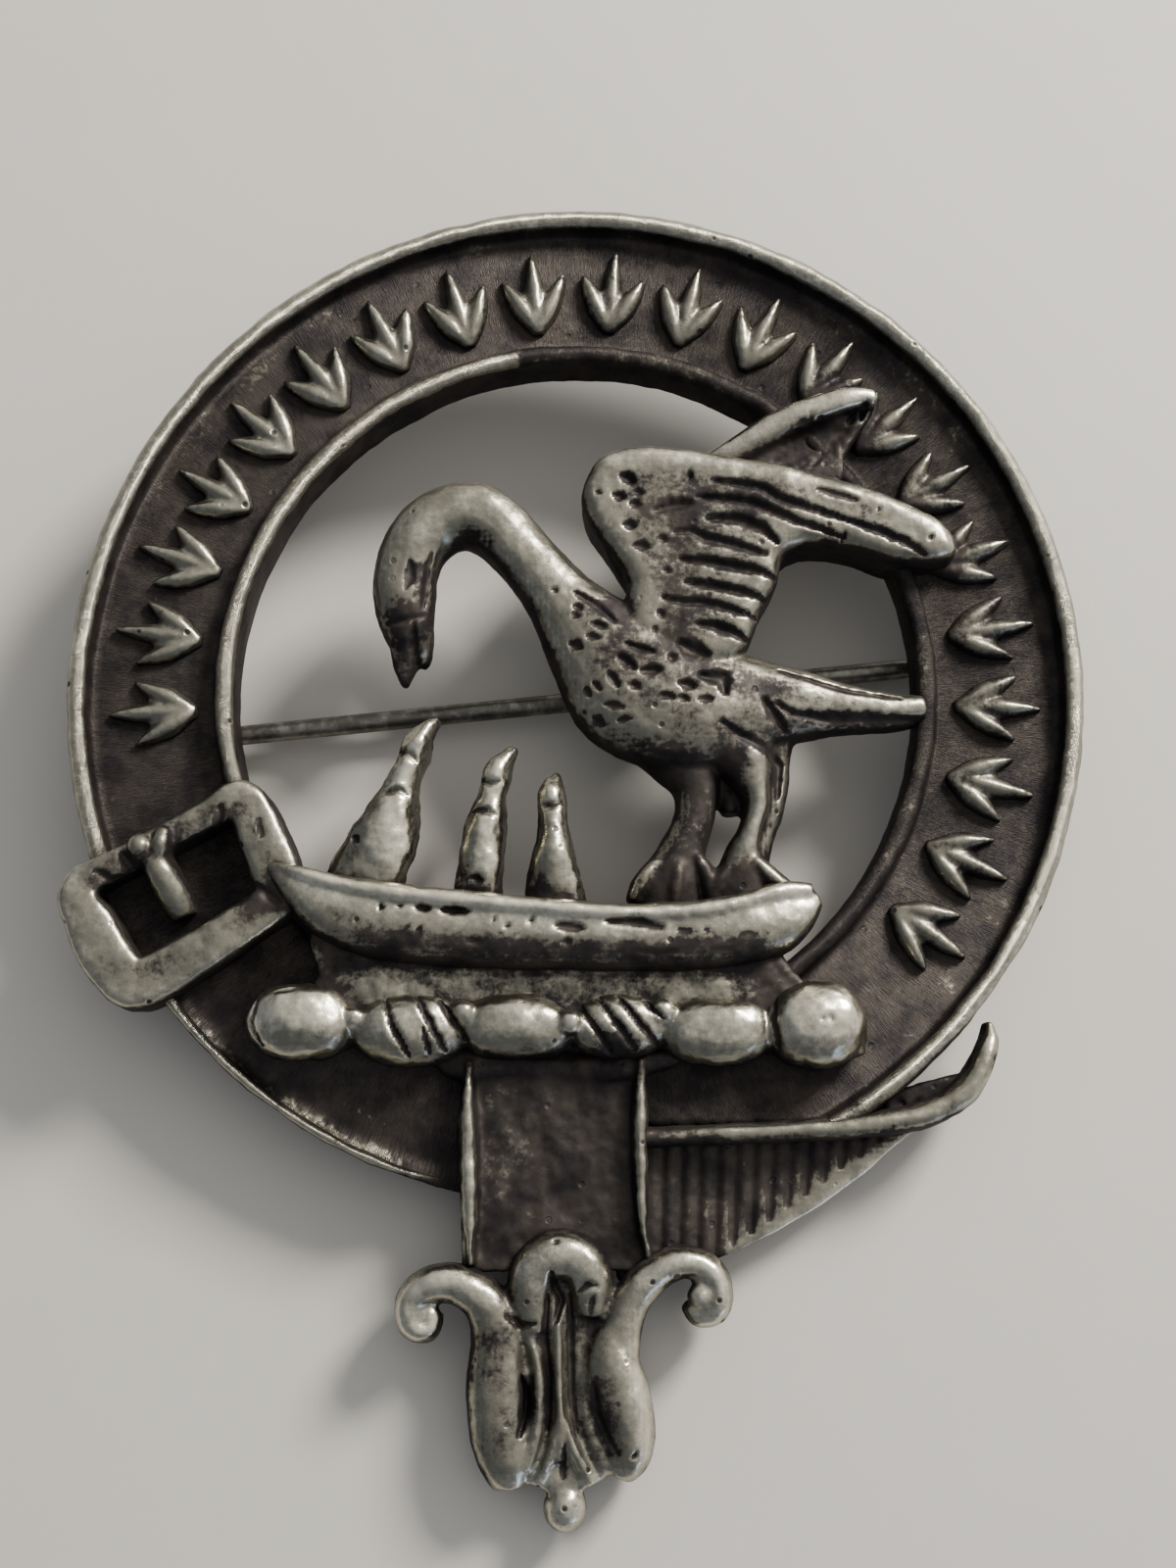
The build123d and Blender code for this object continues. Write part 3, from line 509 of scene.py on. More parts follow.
LEG_STAINS_AND_SHADE = [
    (7.6, 0.3, [(20.6, -20.0), (22.4, -27.0), (20.0, -34.0), (18.0, -42.0)]),
    # Painted shade on the web between the legs.
    (4.6, 0.34, [(30.2, -16.0), (30.2, -26.0)]),
    (5.0, 0.3, [(27.0, -39.6), (33.0, -39.0), (40.0, -40.6)]),
    (3.0, -0.12, [(31.0, -13.0), (35.0, -22.0), (34.0, -30.0)]),
]
FAR_WING_STAINS = [
    (5.0, 0.34, [(38.0, 44.4), (47.0, 48.4), (55.0, 50.4)]),
    (1.8, -0.2, [(30.0, 47.0), (39.0, 52.6), (48.0, 56.4), (58.0, 58.6)]),
    (2.0, -0.1, [(45.0, 49.0), (48.0, 53.0), (51.0, 50.0)]),
]
CHICK_PAINTED_LIGHT_AND_SHADE = [
    # Painted shade down the left side of each chick, and painted highlights down its right side.
    (2.6, 0.24, [(-43.0, -33.0), (-37.0, -20.0), (-35.0, -14.0)]),
    (2.4, 0.26, [(-21.6, -36.0), (-19.0, -24.0)]),
    (3.4, 0.24, [(-8.0, -40.0), (-6.6, -28.0)]),
    (5.0, -0.26, [(-38.0, -38.0), (-34.0, -26.0), (-31.0, -14.0)]),
    (2.6, -0.2, [(-17.6, -36.0), (-16.0, -24.0), (-14.0, -17.0)]),
]
NEST_STAINS = [
    (3.0, 0.1, [(-46.0, -54.0), (-30.0, -54.4), (0.0, -55.6), (24.0, -55.4), (38.0, -54.0)]),
    (1.8, 0.16, [(-40.0, -49.6), (-20.0, -51.2), (10.0, -52.0), (34.0, -51.0)]),
    (4.8, -0.46, [(-50.0, -40.0), (-34.0, -43.6), (0.0, -46.0), (28.0, -45.0), (42.0, -42.6)]),
]
TWIST_PAINTED_SHADE = [
    # Painted shade on the lower part of each twist.
    (4.6, 0.4, [(-60.0, -70.6), (-48.0, -71.4), (-30.0, -72.2), (-10.0, -71.2), (8.0, -71.0)]),
    (4.6, 0.4, [(8.0, -71.0), (28.0, -72.4), (46.0, -73.2), (54.0, -70.6)]),
]
GROUND_PAINTED_LIGHT = [
    # Painted light: makes the shaded ground under the nest paler.
    (7.0, -0.36, [(-38.0, -58.0), (0.0, -59.0), (28.0, -58.4)]),
]
TAIL_STAINS = [
    (12.0, 0.12, [(2.0, -80.0), (2.0, -106.0)]),
    (1.4, -0.12, [(-16.6, -80.0), (-17.0, -92.0), (-16.6, -100.0)]),
    (1.2, -0.1, [(-15.0, -77.0), (-9.0, -80.0)]),
]
BUCKLE_STAINS = [
    (4.0, 0.24, [(-92.0, -37.6), (-80.0, -31.6), (-70.0, -26.0)]),
    (3.4, 0.3, [(-62.0, -43.0), (-56.0, -41.0)]),
    (4.0, 0.14, [(-60.6, -34.0), (-63.0, -26.0)]),
    (3.0, -0.12, [(-90.0, -42.0), (-86.0, -52.0)]),
]
TURNED_STAINS = [
    (1.2, -0.36, [(73.5, -80.0), (64.0, -87.4), (55.0, -94.6), (45.5, -101.0), (36.0, -106.4)]),
]
FOLD_STAINS_AND_SHADE = [
    # Painted shade along the lower side of the fold.
    (1.6, 0.3, [(79.0, -72.0), (70.0, -83.6), (56.0, -86.8), (30.0, -88.2), (12.0, -88.8)]),
    (2.4, 0.2, [(12.0, -86.8), (26.0, -86.4)]),
]
CHAPE_STAINS_AND_PAINTED_LIGHT = [
    # Painted shade on the left sides of the lobes.
    (4.4, 0.22, [(-20.4, -122.0), (-21.0, -136.0), (-18.6, -148.0)]),
    (5.0, 0.23, [(-16.0, -126.0), (-16.0, -146.0)]),
    (4.0, 0.16, [(7.0, -133.0), (8.6, -146.0)]),
    (2.6, 0.12, [(5.0, -132.0), (8.0, -143.0)]),
    (5.0, -0.1, [(-3.0, -118.0), (-3.0, -132.0), (-2.6, -146.0)]),
    (3.6, -0.22, [(-8.0, -113.0), (-2.0, -108.4), (3.0, -114.0)]),
    (2.4, -0.22, [(-29.0, -114.0), (-23.0, -112.6), (-17.0, -116.0)]),
    (2.4, -0.22, [(25.0, -111.0), (20.0, -109.8), (13.0, -113.0)]),
    # Painted highlights on the right edge of the right lobe and the inner edge of the left one.
    (2.0, -0.2, [(12.0, -126.0), (13.6, -136.0), (12.4, -144.0)]),
    (1.8, -0.2, [(-9.6, -124.0), (-8.6, -129.0)]),
]

# Strap ring. Directions are in degrees, anticlockwise from the right.
RING_STEPS = 540
FACE_POINTS = 24
# A rim's foot stands this far out over the face and this far up from it.
RIM_FOOT = (0.25, 0.5)
# Past the fold only the turned back of the strap shows, so the ring is flat there.
FLAT_TOP = 4.3
FLAT_BELOW_TAIL = (-21.0, -84.8)
FLAT_BESIDE_FOLD = (76.5, -66.5)
# The rims are filed away under the buckle.
FILED_ARC = (201.0, 215.5)
# Between the buckle and the tail the outer rim is a thin edge that fades out.
THIN_ARC = (214.0, 262.0)
THIN_RUN = 6.0
THIN_NARROWED = 0.55
THIN_LOWERED = 0.12
FADE_START = 250.0
FADE_RUN = 5.0
# Radius at which lengths along the band are measured.
BAND_RADIUS = 84.0
# Stains along the ring. The track has a share of the band's width and runs all round. The
# others have a width, a strength and an arc: painted shade inside the inner rim, and a stain
# along the outer one.
TRACK_STAIN = (1 / 2.6, 0.42)
INNER_RIM_PAINTED_SHADE = (3.0, 0.5, (-64, 98))
EDGE_STAIN = (3.4, 0.5, (212, 262))

# A leaf of the border, from its stalk to its point, and how far the side leaves turn out.
LEAF_SECTIONS = [
    # share of its length, share of its half width, height over the face of the band
    (0.0, 0.45, 1.5), (0.14, 0.62, 2.3), (0.42, 1.0, 2.9),
    (0.72, 0.78, 2.7), (0.95, 0.32, 1.9), (1.0, 0.1, 1.2),
]
SIDE_LEAF_TURN = 0.49
LEAF_DEPTH = 2.2

# What the cast pieces share: the least height and half width of a limb, the turns at which a
# shoulder is stepped, and the lumps of an uneven surface, each with its size and its share.
LEAST_HEIGHT = 0.6
LEAST_HALF_WIDTH = 0.2
SHOULDER_DEGREES = (22.5, 45.0, 67.5, 90.0)
LUMPS = ((7.0, 1.0), (2.8, 0.5), (1.2, 0.22))
SEED_STRIDES = (13.7, 5.1, 3.3)
# The edges of cuts and stains wander by this share of their width, in lumps of this size.
RAGGED_SHARE = 0.45
RAGGED_LUMP = 1.1

# Each piece's finish, seed, cuts, stains with their painted light and shade, the height from
# which cuts bite, and how uneven it is as a share of the general unevenness.
PIECES = {
    "strap_ring": ("scraped_band_silver", 1, [], TAIL_SHADOW_ON_RING, 4.0, 1.6),
    "leaf_sprays": ("rubbed_cast_silver", 2, [], LEAF_STAINS, 7.0, 1.2),
    "buckle": ("blackened_cast_silver", 3, BUCKLE_CUTS, BUCKLE_STAINS, 9.0, 1.8),
    "strap_tail": ("blackened_cast_silver", 4, [], TAIL_STAINS, 4.0, 3.0),
    "turned_strap": ("blackened_cast_silver", 5, [], TURNED_STAINS, 1.0, 1.6),
    "fold_ridge": ("blackened_cast_silver", 6, [], FOLD_STAINS_AND_SHADE, 4.0, 1.6),
    "chape": ("smooth_cast_silver", 7, CHAPE_CUTS, CHAPE_STAINS_AND_PAINTED_LIGHT, 4.0, 1.4),
    "bird": ("blackened_cast_silver", 8, FIGURE_CUTS, FIGURE_STAINS_AND_SHADE + LEG_STAINS_AND_SHADE, 8.0, 1.5),
    "far_wing": ("smooth_cast_silver", 10, FAR_WING_CUTS, FAR_WING_STAINS, 4.0, 1.0),
    "nest": ("blackened_cast_silver", 11, NEST_CUTS, NEST_STAINS, 8.0, 1.6),
    "ground": ("blackened_cast_silver", 12, [], GROUND_PAINTED_LIGHT, 4.0, 4.5),
    "wreath": ("polished_cast_silver", 13, TWIST_CUTS, TWIST_PAINTED_SHADE, 9.0, 2.4),
    "chicks": ("smooth_cast_silver", 14, CHICK_CUTS, CHICK_PAINTED_LIGHT_AND_SHADE, 8.0, 3.4),
    "back_fittings": ("blackened_cast_silver", 15, [], [], 4.0, 0.0),
}

# Finishes of the cast silver: how far it is rubbed bright, how much smoother it is than a raw
# casting, and whether the marks of the scraper show.
CAST_FINISHES = [
    # As it came from the blackening, pale only on its high spots
    ("blackened_cast_silver", 0.0, 0.0, False),
    # Scraped flat, then blackened: brown-black with a silky sheen
    ("scraped_band_silver", -0.04, 0.1, True),
    # Small and often touched: pale tops over dark sides
    ("rubbed_cast_silver", 0.1, 0.04, False),
    # Smoothed before it was blackened: a soft pale shine
    ("smooth_cast_silver", 0.14, 0.06, False),
    # Rubbed bright all over but for its cuts
    ("polished_cast_silver", 0.5, 0.03, False),
]
# The scraper's marks stand radially on the band: 8 to a part round it, 0.024 mm apart, and
# each about 3 parts long.
SCRAPES_A_PART = (8.0, 0.35, 1.0)

# Wear. The heights of all pieces are mapped in cells of one part, from the left and lower end.
# A spot is proud by its height over the map softened a little, and standing by its height
# over the map softened widely. Both make it paler.
MAP_LEFT = -110
MAP_LOW = -175
MAP_CELLS = (220, 290)
MAP_FLOOR = -6.0
NEAR_SPREAD = 2.2
PROUD_HEIGHT = 2.5
WIDE_SPREAD = 7.0
STANDING_HEIGHT = 7.0
PLAIN_WEAR = 0.36
PROUD_WEAR = 0.26
STANDING_WEAR = 0.3
BACK_WEAR = 0.5

# Stage. Places are in millimetres from the ring's centre, and so are the width and height of
# a light. The floor reaches this many metres each way.
FLOOR_REACH = 1.2
LIGHTS = [
    # name, place, width, height, the setting that holds its power, colour
    ("key_light", (128, 132, 112), 60, 60, "key_power", "#FFFAF3"),
    ("fill_light", (120, -150, 40), 60, 40, "fill_power", "#B4CCF5"),
]
LIGHT_AIM = (0, -5, 0)
CAMERA_AIM = (0.47, -3.3, 0)
SENSOR_HEIGHT = 36
# The room has one bright side, behind the key light. Its colours are linear.
BRIGHT_SIDE = (0.62, 0.6, 0.5)
ROOM_SHADE = (0.21, 0.225, 0.255, 1)
ROOM_LIGHT = (1.0, 0.97, 0.93, 1)


def linear(code):
    """Turns an sRGB hex colour into linear red, green and blue."""
    values = [int(code[i : i + 2], 16) / 255 for i in (1, 3, 5)]
    return tuple(v / 12.92 if v <= 0.04045 else ((v + 0.055) / 1.055) ** 2.4 for v in values)


def length_setting(name, description, default, **limits):
    """A length in metres that a user can change."""
    return FloatProperty(
        name=name,
        description=description,
        default=default,
        unit="LENGTH",
        precision=6,
        **limits,
    )


def colour_setting(name, description, code):
    """A colour that a user can change, from its sRGB hex value."""
    return FloatVectorProperty(
        name=name, description=description, subtype="COLOR", default=linear(code)
    )


class StrapSizes(bpy.types.PropertyGroup):
    """Sizes of the strap ring and its border of leaves."""

    radius: length_setting(
        "Strap radius",
        "Outer radius of the ring, which every other part of the badge follows",
        0.019,
        min=0.005,
    )
    width: length_setting(
        "Strap width", "Width of the band between its outer and inner edge", 0.0062
    )
    plate: length_setting("Plate", "Thickness of the band under its face", 0.0012)
    rim_width: length_setting("Rim width", "Width of the raised rim along each edge", 0.00072)
    rim_height: length_setting(
        "Rim height", "Height of the rims over the face of the band", 0.00093
    )
    spray_count: IntProperty(
        name="Sprays",
        description="Number of leaf sprays in the border",
        default=21,
        min=2,
    )
    spray_first: FloatProperty(
        name="First spray",
        description="Direction of the border's first spray, anticlockwise from the right",
        default=math.radians(183),
        subtype="ANGLE",
    )
    spray_arc: FloatProperty(
        name="Border arc",
        description="Angle that the border covers, clockwise from its first spray",
        default=math.radians(218),
        subtype="ANGLE",
    )
    leaf_length: length_setting("Leaf length", "Length of the middle leaf of a spray", 0.0033)
    side_leaf_length: length_setting(
        "Side leaf length", "Length of the two side leaves of a spray", 0.0026
    )
    leaf_width: length_setting("Leaf width", "Greatest width of a leaf", 0.00085)


class CastSizes(bpy.types.PropertyGroup):
    """Sizes that set how the cast pieces lie and how finely they are modelled."""

    crest_back: length_setting(
        "Crest back", "Height of the crest's back over the back of the strap", 0.0005
    )
    chape_back: length_setting(
        "Chape back", "Height of the chape's back over the back of the strap", 0.00025
    )
    grain: length_setting(
        "Grain",
        "Size of the cells that the cast pieces are melted together in",
        0.000105,
        min=0.00005,
    )
    unevenness: length_setting(
        "Unevenness", "How far the hand-finished surface wanders from its form", 0.000035
    )


class FittingSizes(bpy.types.PropertyGroup):
    """Sizes of the hinge and the catch behind the strap."""

    plate: length_setting("Plate", "Thickness of the plates soldered to the back", 0.00045)
    hinge_plate: length_setting("Hinge plate", "Length of the hinge's plate along the pin", 0.00273)
    hinge_outset: length_setting(
        "Hinge outset", "Distance of the hinge beyond the middle of the band", 0.0002
    )
    side_offset: length_setting(
        "Side offset", "Distance of the pin's line above the centre of the ring", 0.0002
    )
    stem_drop: length_setting(
        "Pin drop", "Distance of the pin's middle behind the back of the strap", 0.0015
    )
    wire_radius: length_setting("Wire radius", "Radius of the pin's wire", 0.000375)
    ear_radius: length_setting("Ear radius", "Radius of the hinge's two ears", 0.00105)
    ear_thickness: length_setting("Ear thickness", "Thickness of an ear", 0.0007)
    ear_inside: length_setting(
        "Between the ears", "Room between the two ears, for the pin's eye", 0.00144
    )
    rivet_bore: length_setting("Rivet bore", "Radius of the hole for the rivet", 0.00038)
    catch_width: length_setting("Catch width", "Width of the catch along the pin", 0.002)
    catch_wall: length_setting("Catch wall", "Thickness of the catch's bent strip", 0.0004)
    catch_mouth: length_setting("Catch mouth", "Room beside the pin in the catch", 0.00055)
    catch_room: length_setting("Catch room", "Room under the pin in the catch", 0.0003)
    catch_lip_side: length_setting(
        "Catch lip", "Distance of the catch's lip from the side of the pin", 0.00019
    )


class SilverColours(bpy.types.PropertyGroup):
    """Colours of the silver and its tarnish."""

    bright: colour_setting(
        "Rubbed silver", "Silver on the high spots, kept clean by handling", "#E0DBC8"
    )
    dull: colour_setting("Dull silver", "Silver with a thin film of tarnish", "#918E80")
    brown: colour_setting("Brown tarnish", "Thick brown tarnish on the face of the band", "#423D39")
    black: colour_setting("Black tarnish", "Oxide left in the cuts and corners", "#2E2B2B")
    edge: colour_setting("Tarnish edge", "Tint of light that glances off the tarnish", "#A2A2A6")
    wire: colour_setting("Pin wire", "Grey drawn wire of the pin", "#8E8C84")


class StageSettings(bpy.types.PropertyGroup):
    """Floor, light and camera."""

    floor: colour_setting("Floor", "Colour of the plain floor", "#CCC9C2")
    camera_distance: length_setting(
        "Camera distance", "Distance from the camera to the badge", 0.081
    )
    camera_tilt: FloatProperty(
        name="Camera tilt",
        description="Lean of the camera towards the strap end, from square on to the badge",
        default=math.radians(10),
        subtype="ANGLE",
    )
    focal_length: FloatProperty(
        name="Focal length",
        description="Focal length in millimetres on a sensor 36 mm tall",
        default=49.05,
    )
    key_power: FloatProperty(
        name="Key light",
        description="Power of the soft light at the upper right, in watts",
        default=0.9,
    )
    fill_power: FloatProperty(
        name="Fill light",
        description="Power of the cool light at the lower right, in watts",
        default=0.03,
    )
    room_glow: FloatProperty(
        name="Room glow",
        description="Brightness of the room round the badge",
        default=1.0,
    )


def in_parts(size):
    """A length in metres, in parts of the strap's radius."""
    return size * PART_COUNT / bpy.context.scene.strap_sizes.radius


def lay_matrix():
    """Carries a flat shape in metres onto the badge as it lies."""
    back = next(mount for mount in frame["record"]["mounts"] if mount["name"] == "back_face")
    hinge = next(joint for joint in frame["joints"] if joint["name"] == "pin_hinge")
    up = -Vector(back["axis"]).normalized()
    hinge_line = Vector(hinge["axis"]).normalized()
    stem = hinge_line.cross(up).normalized()
    right = math.cos(PIN_TURN) * stem - math.sin(PIN_TURN) * hinge_line
    top = up.cross(right)
    lay = Matrix((right, top, up)).transposed().to_4x4()
    lay.translation = Vector(back["pos_m"])
    return lay


def lay_parts():
    """Carries a flat shape in parts onto the badge as it lies, in metres."""
    scale = bpy.context.scene.strap_sizes.radius / PART_COUNT
    return lay_matrix() @ Matrix.Diagonal((scale, scale, scale, 1))


def in_turn(radius, angle):
    """The point at a distance and a direction from the strap's centre."""
    return radius * math.cos(angle), radius * math.sin(angle)


def smooth_rows(rows, steps, closed=False):
    """Adds rows between the given ones, on a smooth curve through them."""
    rows = np.array(rows, dtype=float)
    if closed:
        ends = np.vstack([rows[-1:], rows, rows[:2]])
    else:
        ends = np.vstack([2 * rows[0] - rows[1], rows, 2 * rows[-1] - rows[-2]])
    made = []
    for i in range(len(ends) - 3):
        a, b, c, d = ends[i : i + 4]
        for t in np.arange(steps) / steps:
            bend = (2 * a - 5 * b + 4 * c - d) * t**2 + (3 * b - a - 3 * c + d) * t**3
            made.append(b + 0.5 * ((c - a) * t + bend))
    if not closed:
        made.append(rows[-1])
    return np.array(made)


def limb(mesh, rows, back, squareness=2.3, steps=4, segments=24, closed=False):
    """Bridges squarish oval rings along a path; each row is x, y, half width and top."""
    rows = smooth_rows(rows, steps, closed)
    last = len(rows) - 1
    loops = []
    for i, (x, y, half_width, top) in enumerate(rows):
        ahead = rows[(i + 1) % len(rows) if closed else min(i + 1, last)]
        behind = rows[i - 1 if closed else max(i - 1, 0)]
        along = Vector((ahead[0] - behind[0], ahead[1] - behind[1], 0)).normalized()
        across = Vector((-along.y, along.x, 0)) * max(half_width, LEAST_HALF_WIDTH)
        rise = max(top - back, LEAST_HEIGHT) / 2
        ring = bmesh.ops.create_circle(mesh, cap_ends=False, segments=segments, radius=1)["verts"]
        for vert in ring:
            vert.co.x = math.copysign(abs(vert.co.x) ** (2 / squareness), vert.co.x)
            vert.co.y = math.copysign(abs(vert.co.y) ** (2 / squareness), vert.co.y)
        stand = Matrix((across, Vector((0, 0, rise)), along)).transposed().to_4x4()
        stand.translation = Vector((x, y, back + rise))
        bmesh.ops.transform(mesh, matrix=stand, verts=ring)
        loops.append(list({edge for vert in ring for edge in vert.link_edges}))
    pairs = list(zip(loops[:-1], loops[1:])) + ([(loops[-1], loops[0])] if closed else [])
    for one, other in pairs:
        bmesh.ops.bridge_loops(mesh, edges=one + other)
    for end in () if closed else (loops[0], loops[-1]):
        bmesh.ops.edgeloop_fill(mesh, edges=end)


def raise_faces(mesh, faces, offset):
    """Pulls faces away by an offset, with walls round them, and returns the moved faces."""
    raised = bmesh.ops.extrude_face_region(mesh, geom=faces)["geom"]
    verts = [item for item in raised if isinstance(item, bmesh.types.BMVert)]
    bmesh.ops.translate(mesh, vec=offset, verts=verts)
    return [item for item in raised if isinstance(item, bmesh.types.BMFace)]


def pad(mesh, outline, bottom, top, shoulder=0.0, steps=3):
    """Raises a smooth outline to a flat top with a rounded shoulder."""
    points = smooth_rows(outline, steps, closed=True) if steps > 1 else outline
    base = mesh.faces.new([mesh.verts.new((x, y, bottom)) for x, y in points])
    face = raise_faces(mesh, [base], (0, 0, top - bottom - shoulder))[0]
    last_in = last_up = 0.0
    for degrees in SHOULDER_DEGREES if shoulder else ():
        inward = shoulder * (1 - math.cos(math.radians(degrees)))
        upward = shoulder * math.sin(math.radians(degrees))
        bmesh.ops.inset_region(
            mesh, faces=[face], thickness=inward - last_in, depth=0, use_even_offset=False
        )
        bmesh.ops.translate(mesh, vec=(0, 0, upward - last_up), verts=face.verts)
        last_in, last_up = inward, upward


def bead(mesh, x, y, height, radius, stretch=(1, 1, 1)):
    """Adds a small rounded bead, for a nib or a volute's eye."""
    place = Matrix.Translation((x, y, height)) @ Matrix.Diagonal((*stretch, 1))
    bmesh.ops.create_uvsphere(mesh, u_segments=20, v_segments=12, radius=radius, matrix=place)


def distance_to_path(points, path):
    """Distance in the flat from each point to a run of lines, and how far along it that is."""
    nearest = np.full(len(points), np.inf)
    reached = np.zeros(len(points))
    lengths = [math.dist(start, end) for start, end in zip(path[:-1], path[1:])]
    gone = 0.0
    for start, end, length in zip(path[:-1], path[1:], lengths):
        start, span = np.array(start), np.array(end) - np.array(start)
        share = np.clip(((points - start) @ span) / (span @ span), 0, 1)
        distance = np.linalg.norm(points - start - share[:, None] * span, axis=1)
        closer = distance < nearest
        nearest = np.where(closer, distance, nearest)
        reached = np.where(closer, (gone + share * length) / sum(lengths), reached)
        gone += length
    return nearest, reached


def read_points(mesh):
    """The mesh's points and normals as arrays."""
    points = np.empty(len(mesh.vertices) * 3)
    mesh.vertices.foreach_get("co", points)
    normals = np.empty(len(mesh.vertices) * 3)
    mesh.vertex_normals.foreach_get("vector", normals)
    return points.reshape(-1, 3), normals.reshape(-1, 3)


def move_points(mesh, points):
    """Puts the mesh's points where an array says."""
    mesh.vertices.foreach_set("co", points.ravel())
    mesh.update()


def keep_value(mesh, name, values):
    """Stores one number a point, for the finish to read."""
    stored = mesh.attributes.get(name) or mesh.attributes.new(name, "FLOAT", "POINT")
    stored.data.foreach_set("value", np.asarray(values, dtype=np.float32))


def wander(points, size, seed):
    """Smooth random numbers round zero over the points, with lumps of the given size."""
    shift = Vector([seed * stride for stride in SEED_STRIDES])
    return np.array([noise.noise(Vector(point) / size + shift) for point in points])


def ease(share):
    """Turns an even run from 0 to 1 into one that starts and ends gently."""
    return share * share * (3 - 2 * share)


def cut_strokes(mesh, cuts, stains_and_painted_light, floor_height, seed):
    """Sinks the front along pointed cuts, and keeps how far cuts, stains and painted light and
    shade move the wear.
    """
    points, normals = read_points(mesh)
    flat = points[:, :2]
    # Cuts bite in full on what faces the front, from 2 parts over the floor height.
    facing = np.clip(normals[:, 2] * 2.5, 0, 1) * np.clip((points[:, 2] - floor_height) / 2, 0, 1)
    ragged = 1 + RAGGED_SHARE * wander(points, RAGGED_LUMP, seed) if len(cuts) + len(stains_and_painted_light) else 1
    grime = np.zeros(len(points))
    sink = np.zeros(len(points))
    for width, depth, path in cuts:
        distance, reached = distance_to_path(flat, path)
        # A cut is under half as wide at its ends as in its middle.
        taper = 0.3 + 0.7 * np.sin(math.pi * np.clip(reached, 0.02, 0.98)) ** 0.6
        share = np.clip(1 - distance / (1.3 * width * taper * ragged), 0, 1)
        sink = np.maximum(sink, depth * ease(share))
        # The deeper a cut, the blacker it is.
        darkness = min(0.8, 0.3 + 0.42 * depth)
        grime = np.maximum(grime, darkness * np.clip(1.7 * share - 0.1, 0, 1) * facing)
    # Stains, with the painted light and shade among them, pale or darken by their strength.
    for width, strength, path in stains_and_painted_light:
        distance, _ = distance_to_path(flat, path)
        share = np.clip(1.3 - distance / (width * ragged), 0, 1)
        grime = grime + strength * ease(share)
    points[:, 2] -= sink * facing
    move_points(mesh, points)
    keep_value(mesh, "grime", grime)


def hand_finish(mesh, amount, seed):
    """Moves the surface in and out a little, so that no face is machine-flat."""
    points, normals = read_points(mesh)
    shift = sum(share * wander(points, size, seed) for size, share in LUMPS)
    points += normals * (shift * amount)[:, None]
    move_points(mesh, points)


def soften(heights, spread):
    """Blurs a height map with a bell curve along both of its ways."""
    reach = int(spread * 2.5)
    bell = np.exp(-0.5 * (np.arange(-reach, reach + 1) / spread) ** 2)
    bell /= bell.sum()
    for way in (0, 1):
        heights = np.apply_along_axis(
            lambda line: np.convolve(np.pad(line, reach, mode="edge"), bell, "valid"), way, heights
        )
    return heights


def melt(mesh, name, smoothing=4, grain_share=1.0):
    """Melts overlapping forms into one skin, as a casting has, and smooths it."""
    bmesh.ops.recalc_face_normals(mesh, faces=mesh.faces)
    data = bpy.data.meshes.new(name)
    mesh.to_mesh(data)
    mesh.free()
    raw = bpy.data.objects.new(name, data)
    bpy.context.scene.collection.objects.link(raw)
    remesh = raw.modifiers.new("melt", "REMESH")
    remesh.mode = "VOXEL"
    remesh.voxel_size = in_parts(grain_share * bpy.context.scene.cast_sizes.grain)
    smooth = raw.modifiers.new("rub", "SMOOTH")
    smooth.factor = 0.5
    smooth.iterations = smoothing
    bpy.context.view_layer.update()
    shown = raw.evaluated_get(bpy.context.evaluated_depsgraph_get())
    melted = bpy.data.meshes.new_from_object(shown)
    bpy.data.objects.remove(raw)
    bpy.data.meshes.remove(data)
    return melted


def to_mesh(mesh, name):
    """A plain mesh from a bmesh that needs no melting."""
    bmesh.ops.remove_doubles(mesh, verts=mesh.verts, dist=1e-4)
    bmesh.ops.recalc_face_normals(mesh, faces=mesh.faces)
    data = bpy.data.meshes.new(name)
    mesh.to_mesh(data)
    mesh.free()
    return data


def settle(mesh, name, more_cuts=(), more_stains_and_painted_light=()):
    """Cuts, finishes and lays a flat mesh, and hands it over as a piece of the badge."""
    finish, seed, cuts, stains_and_painted_light, floor_height, uneven = PIECES[name]
    hand_finish(mesh, in_parts(bpy.context.scene.cast_sizes.unevenness) * uneven, seed)
    cut_strokes(mesh, [*more_cuts, *cuts], [*more_stains_and_painted_light, *stains_and_painted_light], floor_height, seed)
    mesh.name = name
    mesh.transform(lay_parts())
    mesh.shade_smooth()
    mesh.materials.clear()
    mesh.materials.append(bpy.data.materials[finish])
    piece = bpy.data.objects.new(name, mesh)
    bpy.context.scene.collection.objects.link(piece)
    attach(piece, "badge")
    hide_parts("crest_badge")


# Materials


def node(tree, kind, inputs=None, **settings):
    """Adds a node; an input is a number, a colour or another node's socket."""
    made = tree.nodes.new(kind)
    for key, value in settings.items():
        setattr(made, key, value)
    for key, value in (inputs or {}).items():
        if isinstance(value, bpy.types.NodeSocket):
            tree.links.new(value, made.inputs[key])
        else:
            made.inputs[key].default_value = value
    return made


def new_material(name):
    """An empty node material and its shader."""
    material = bpy.data.materials.new(name)
    material.use_nodes = True
    tree = material.node_tree
    return material, tree, tree.nodes["Principled BSDF"]


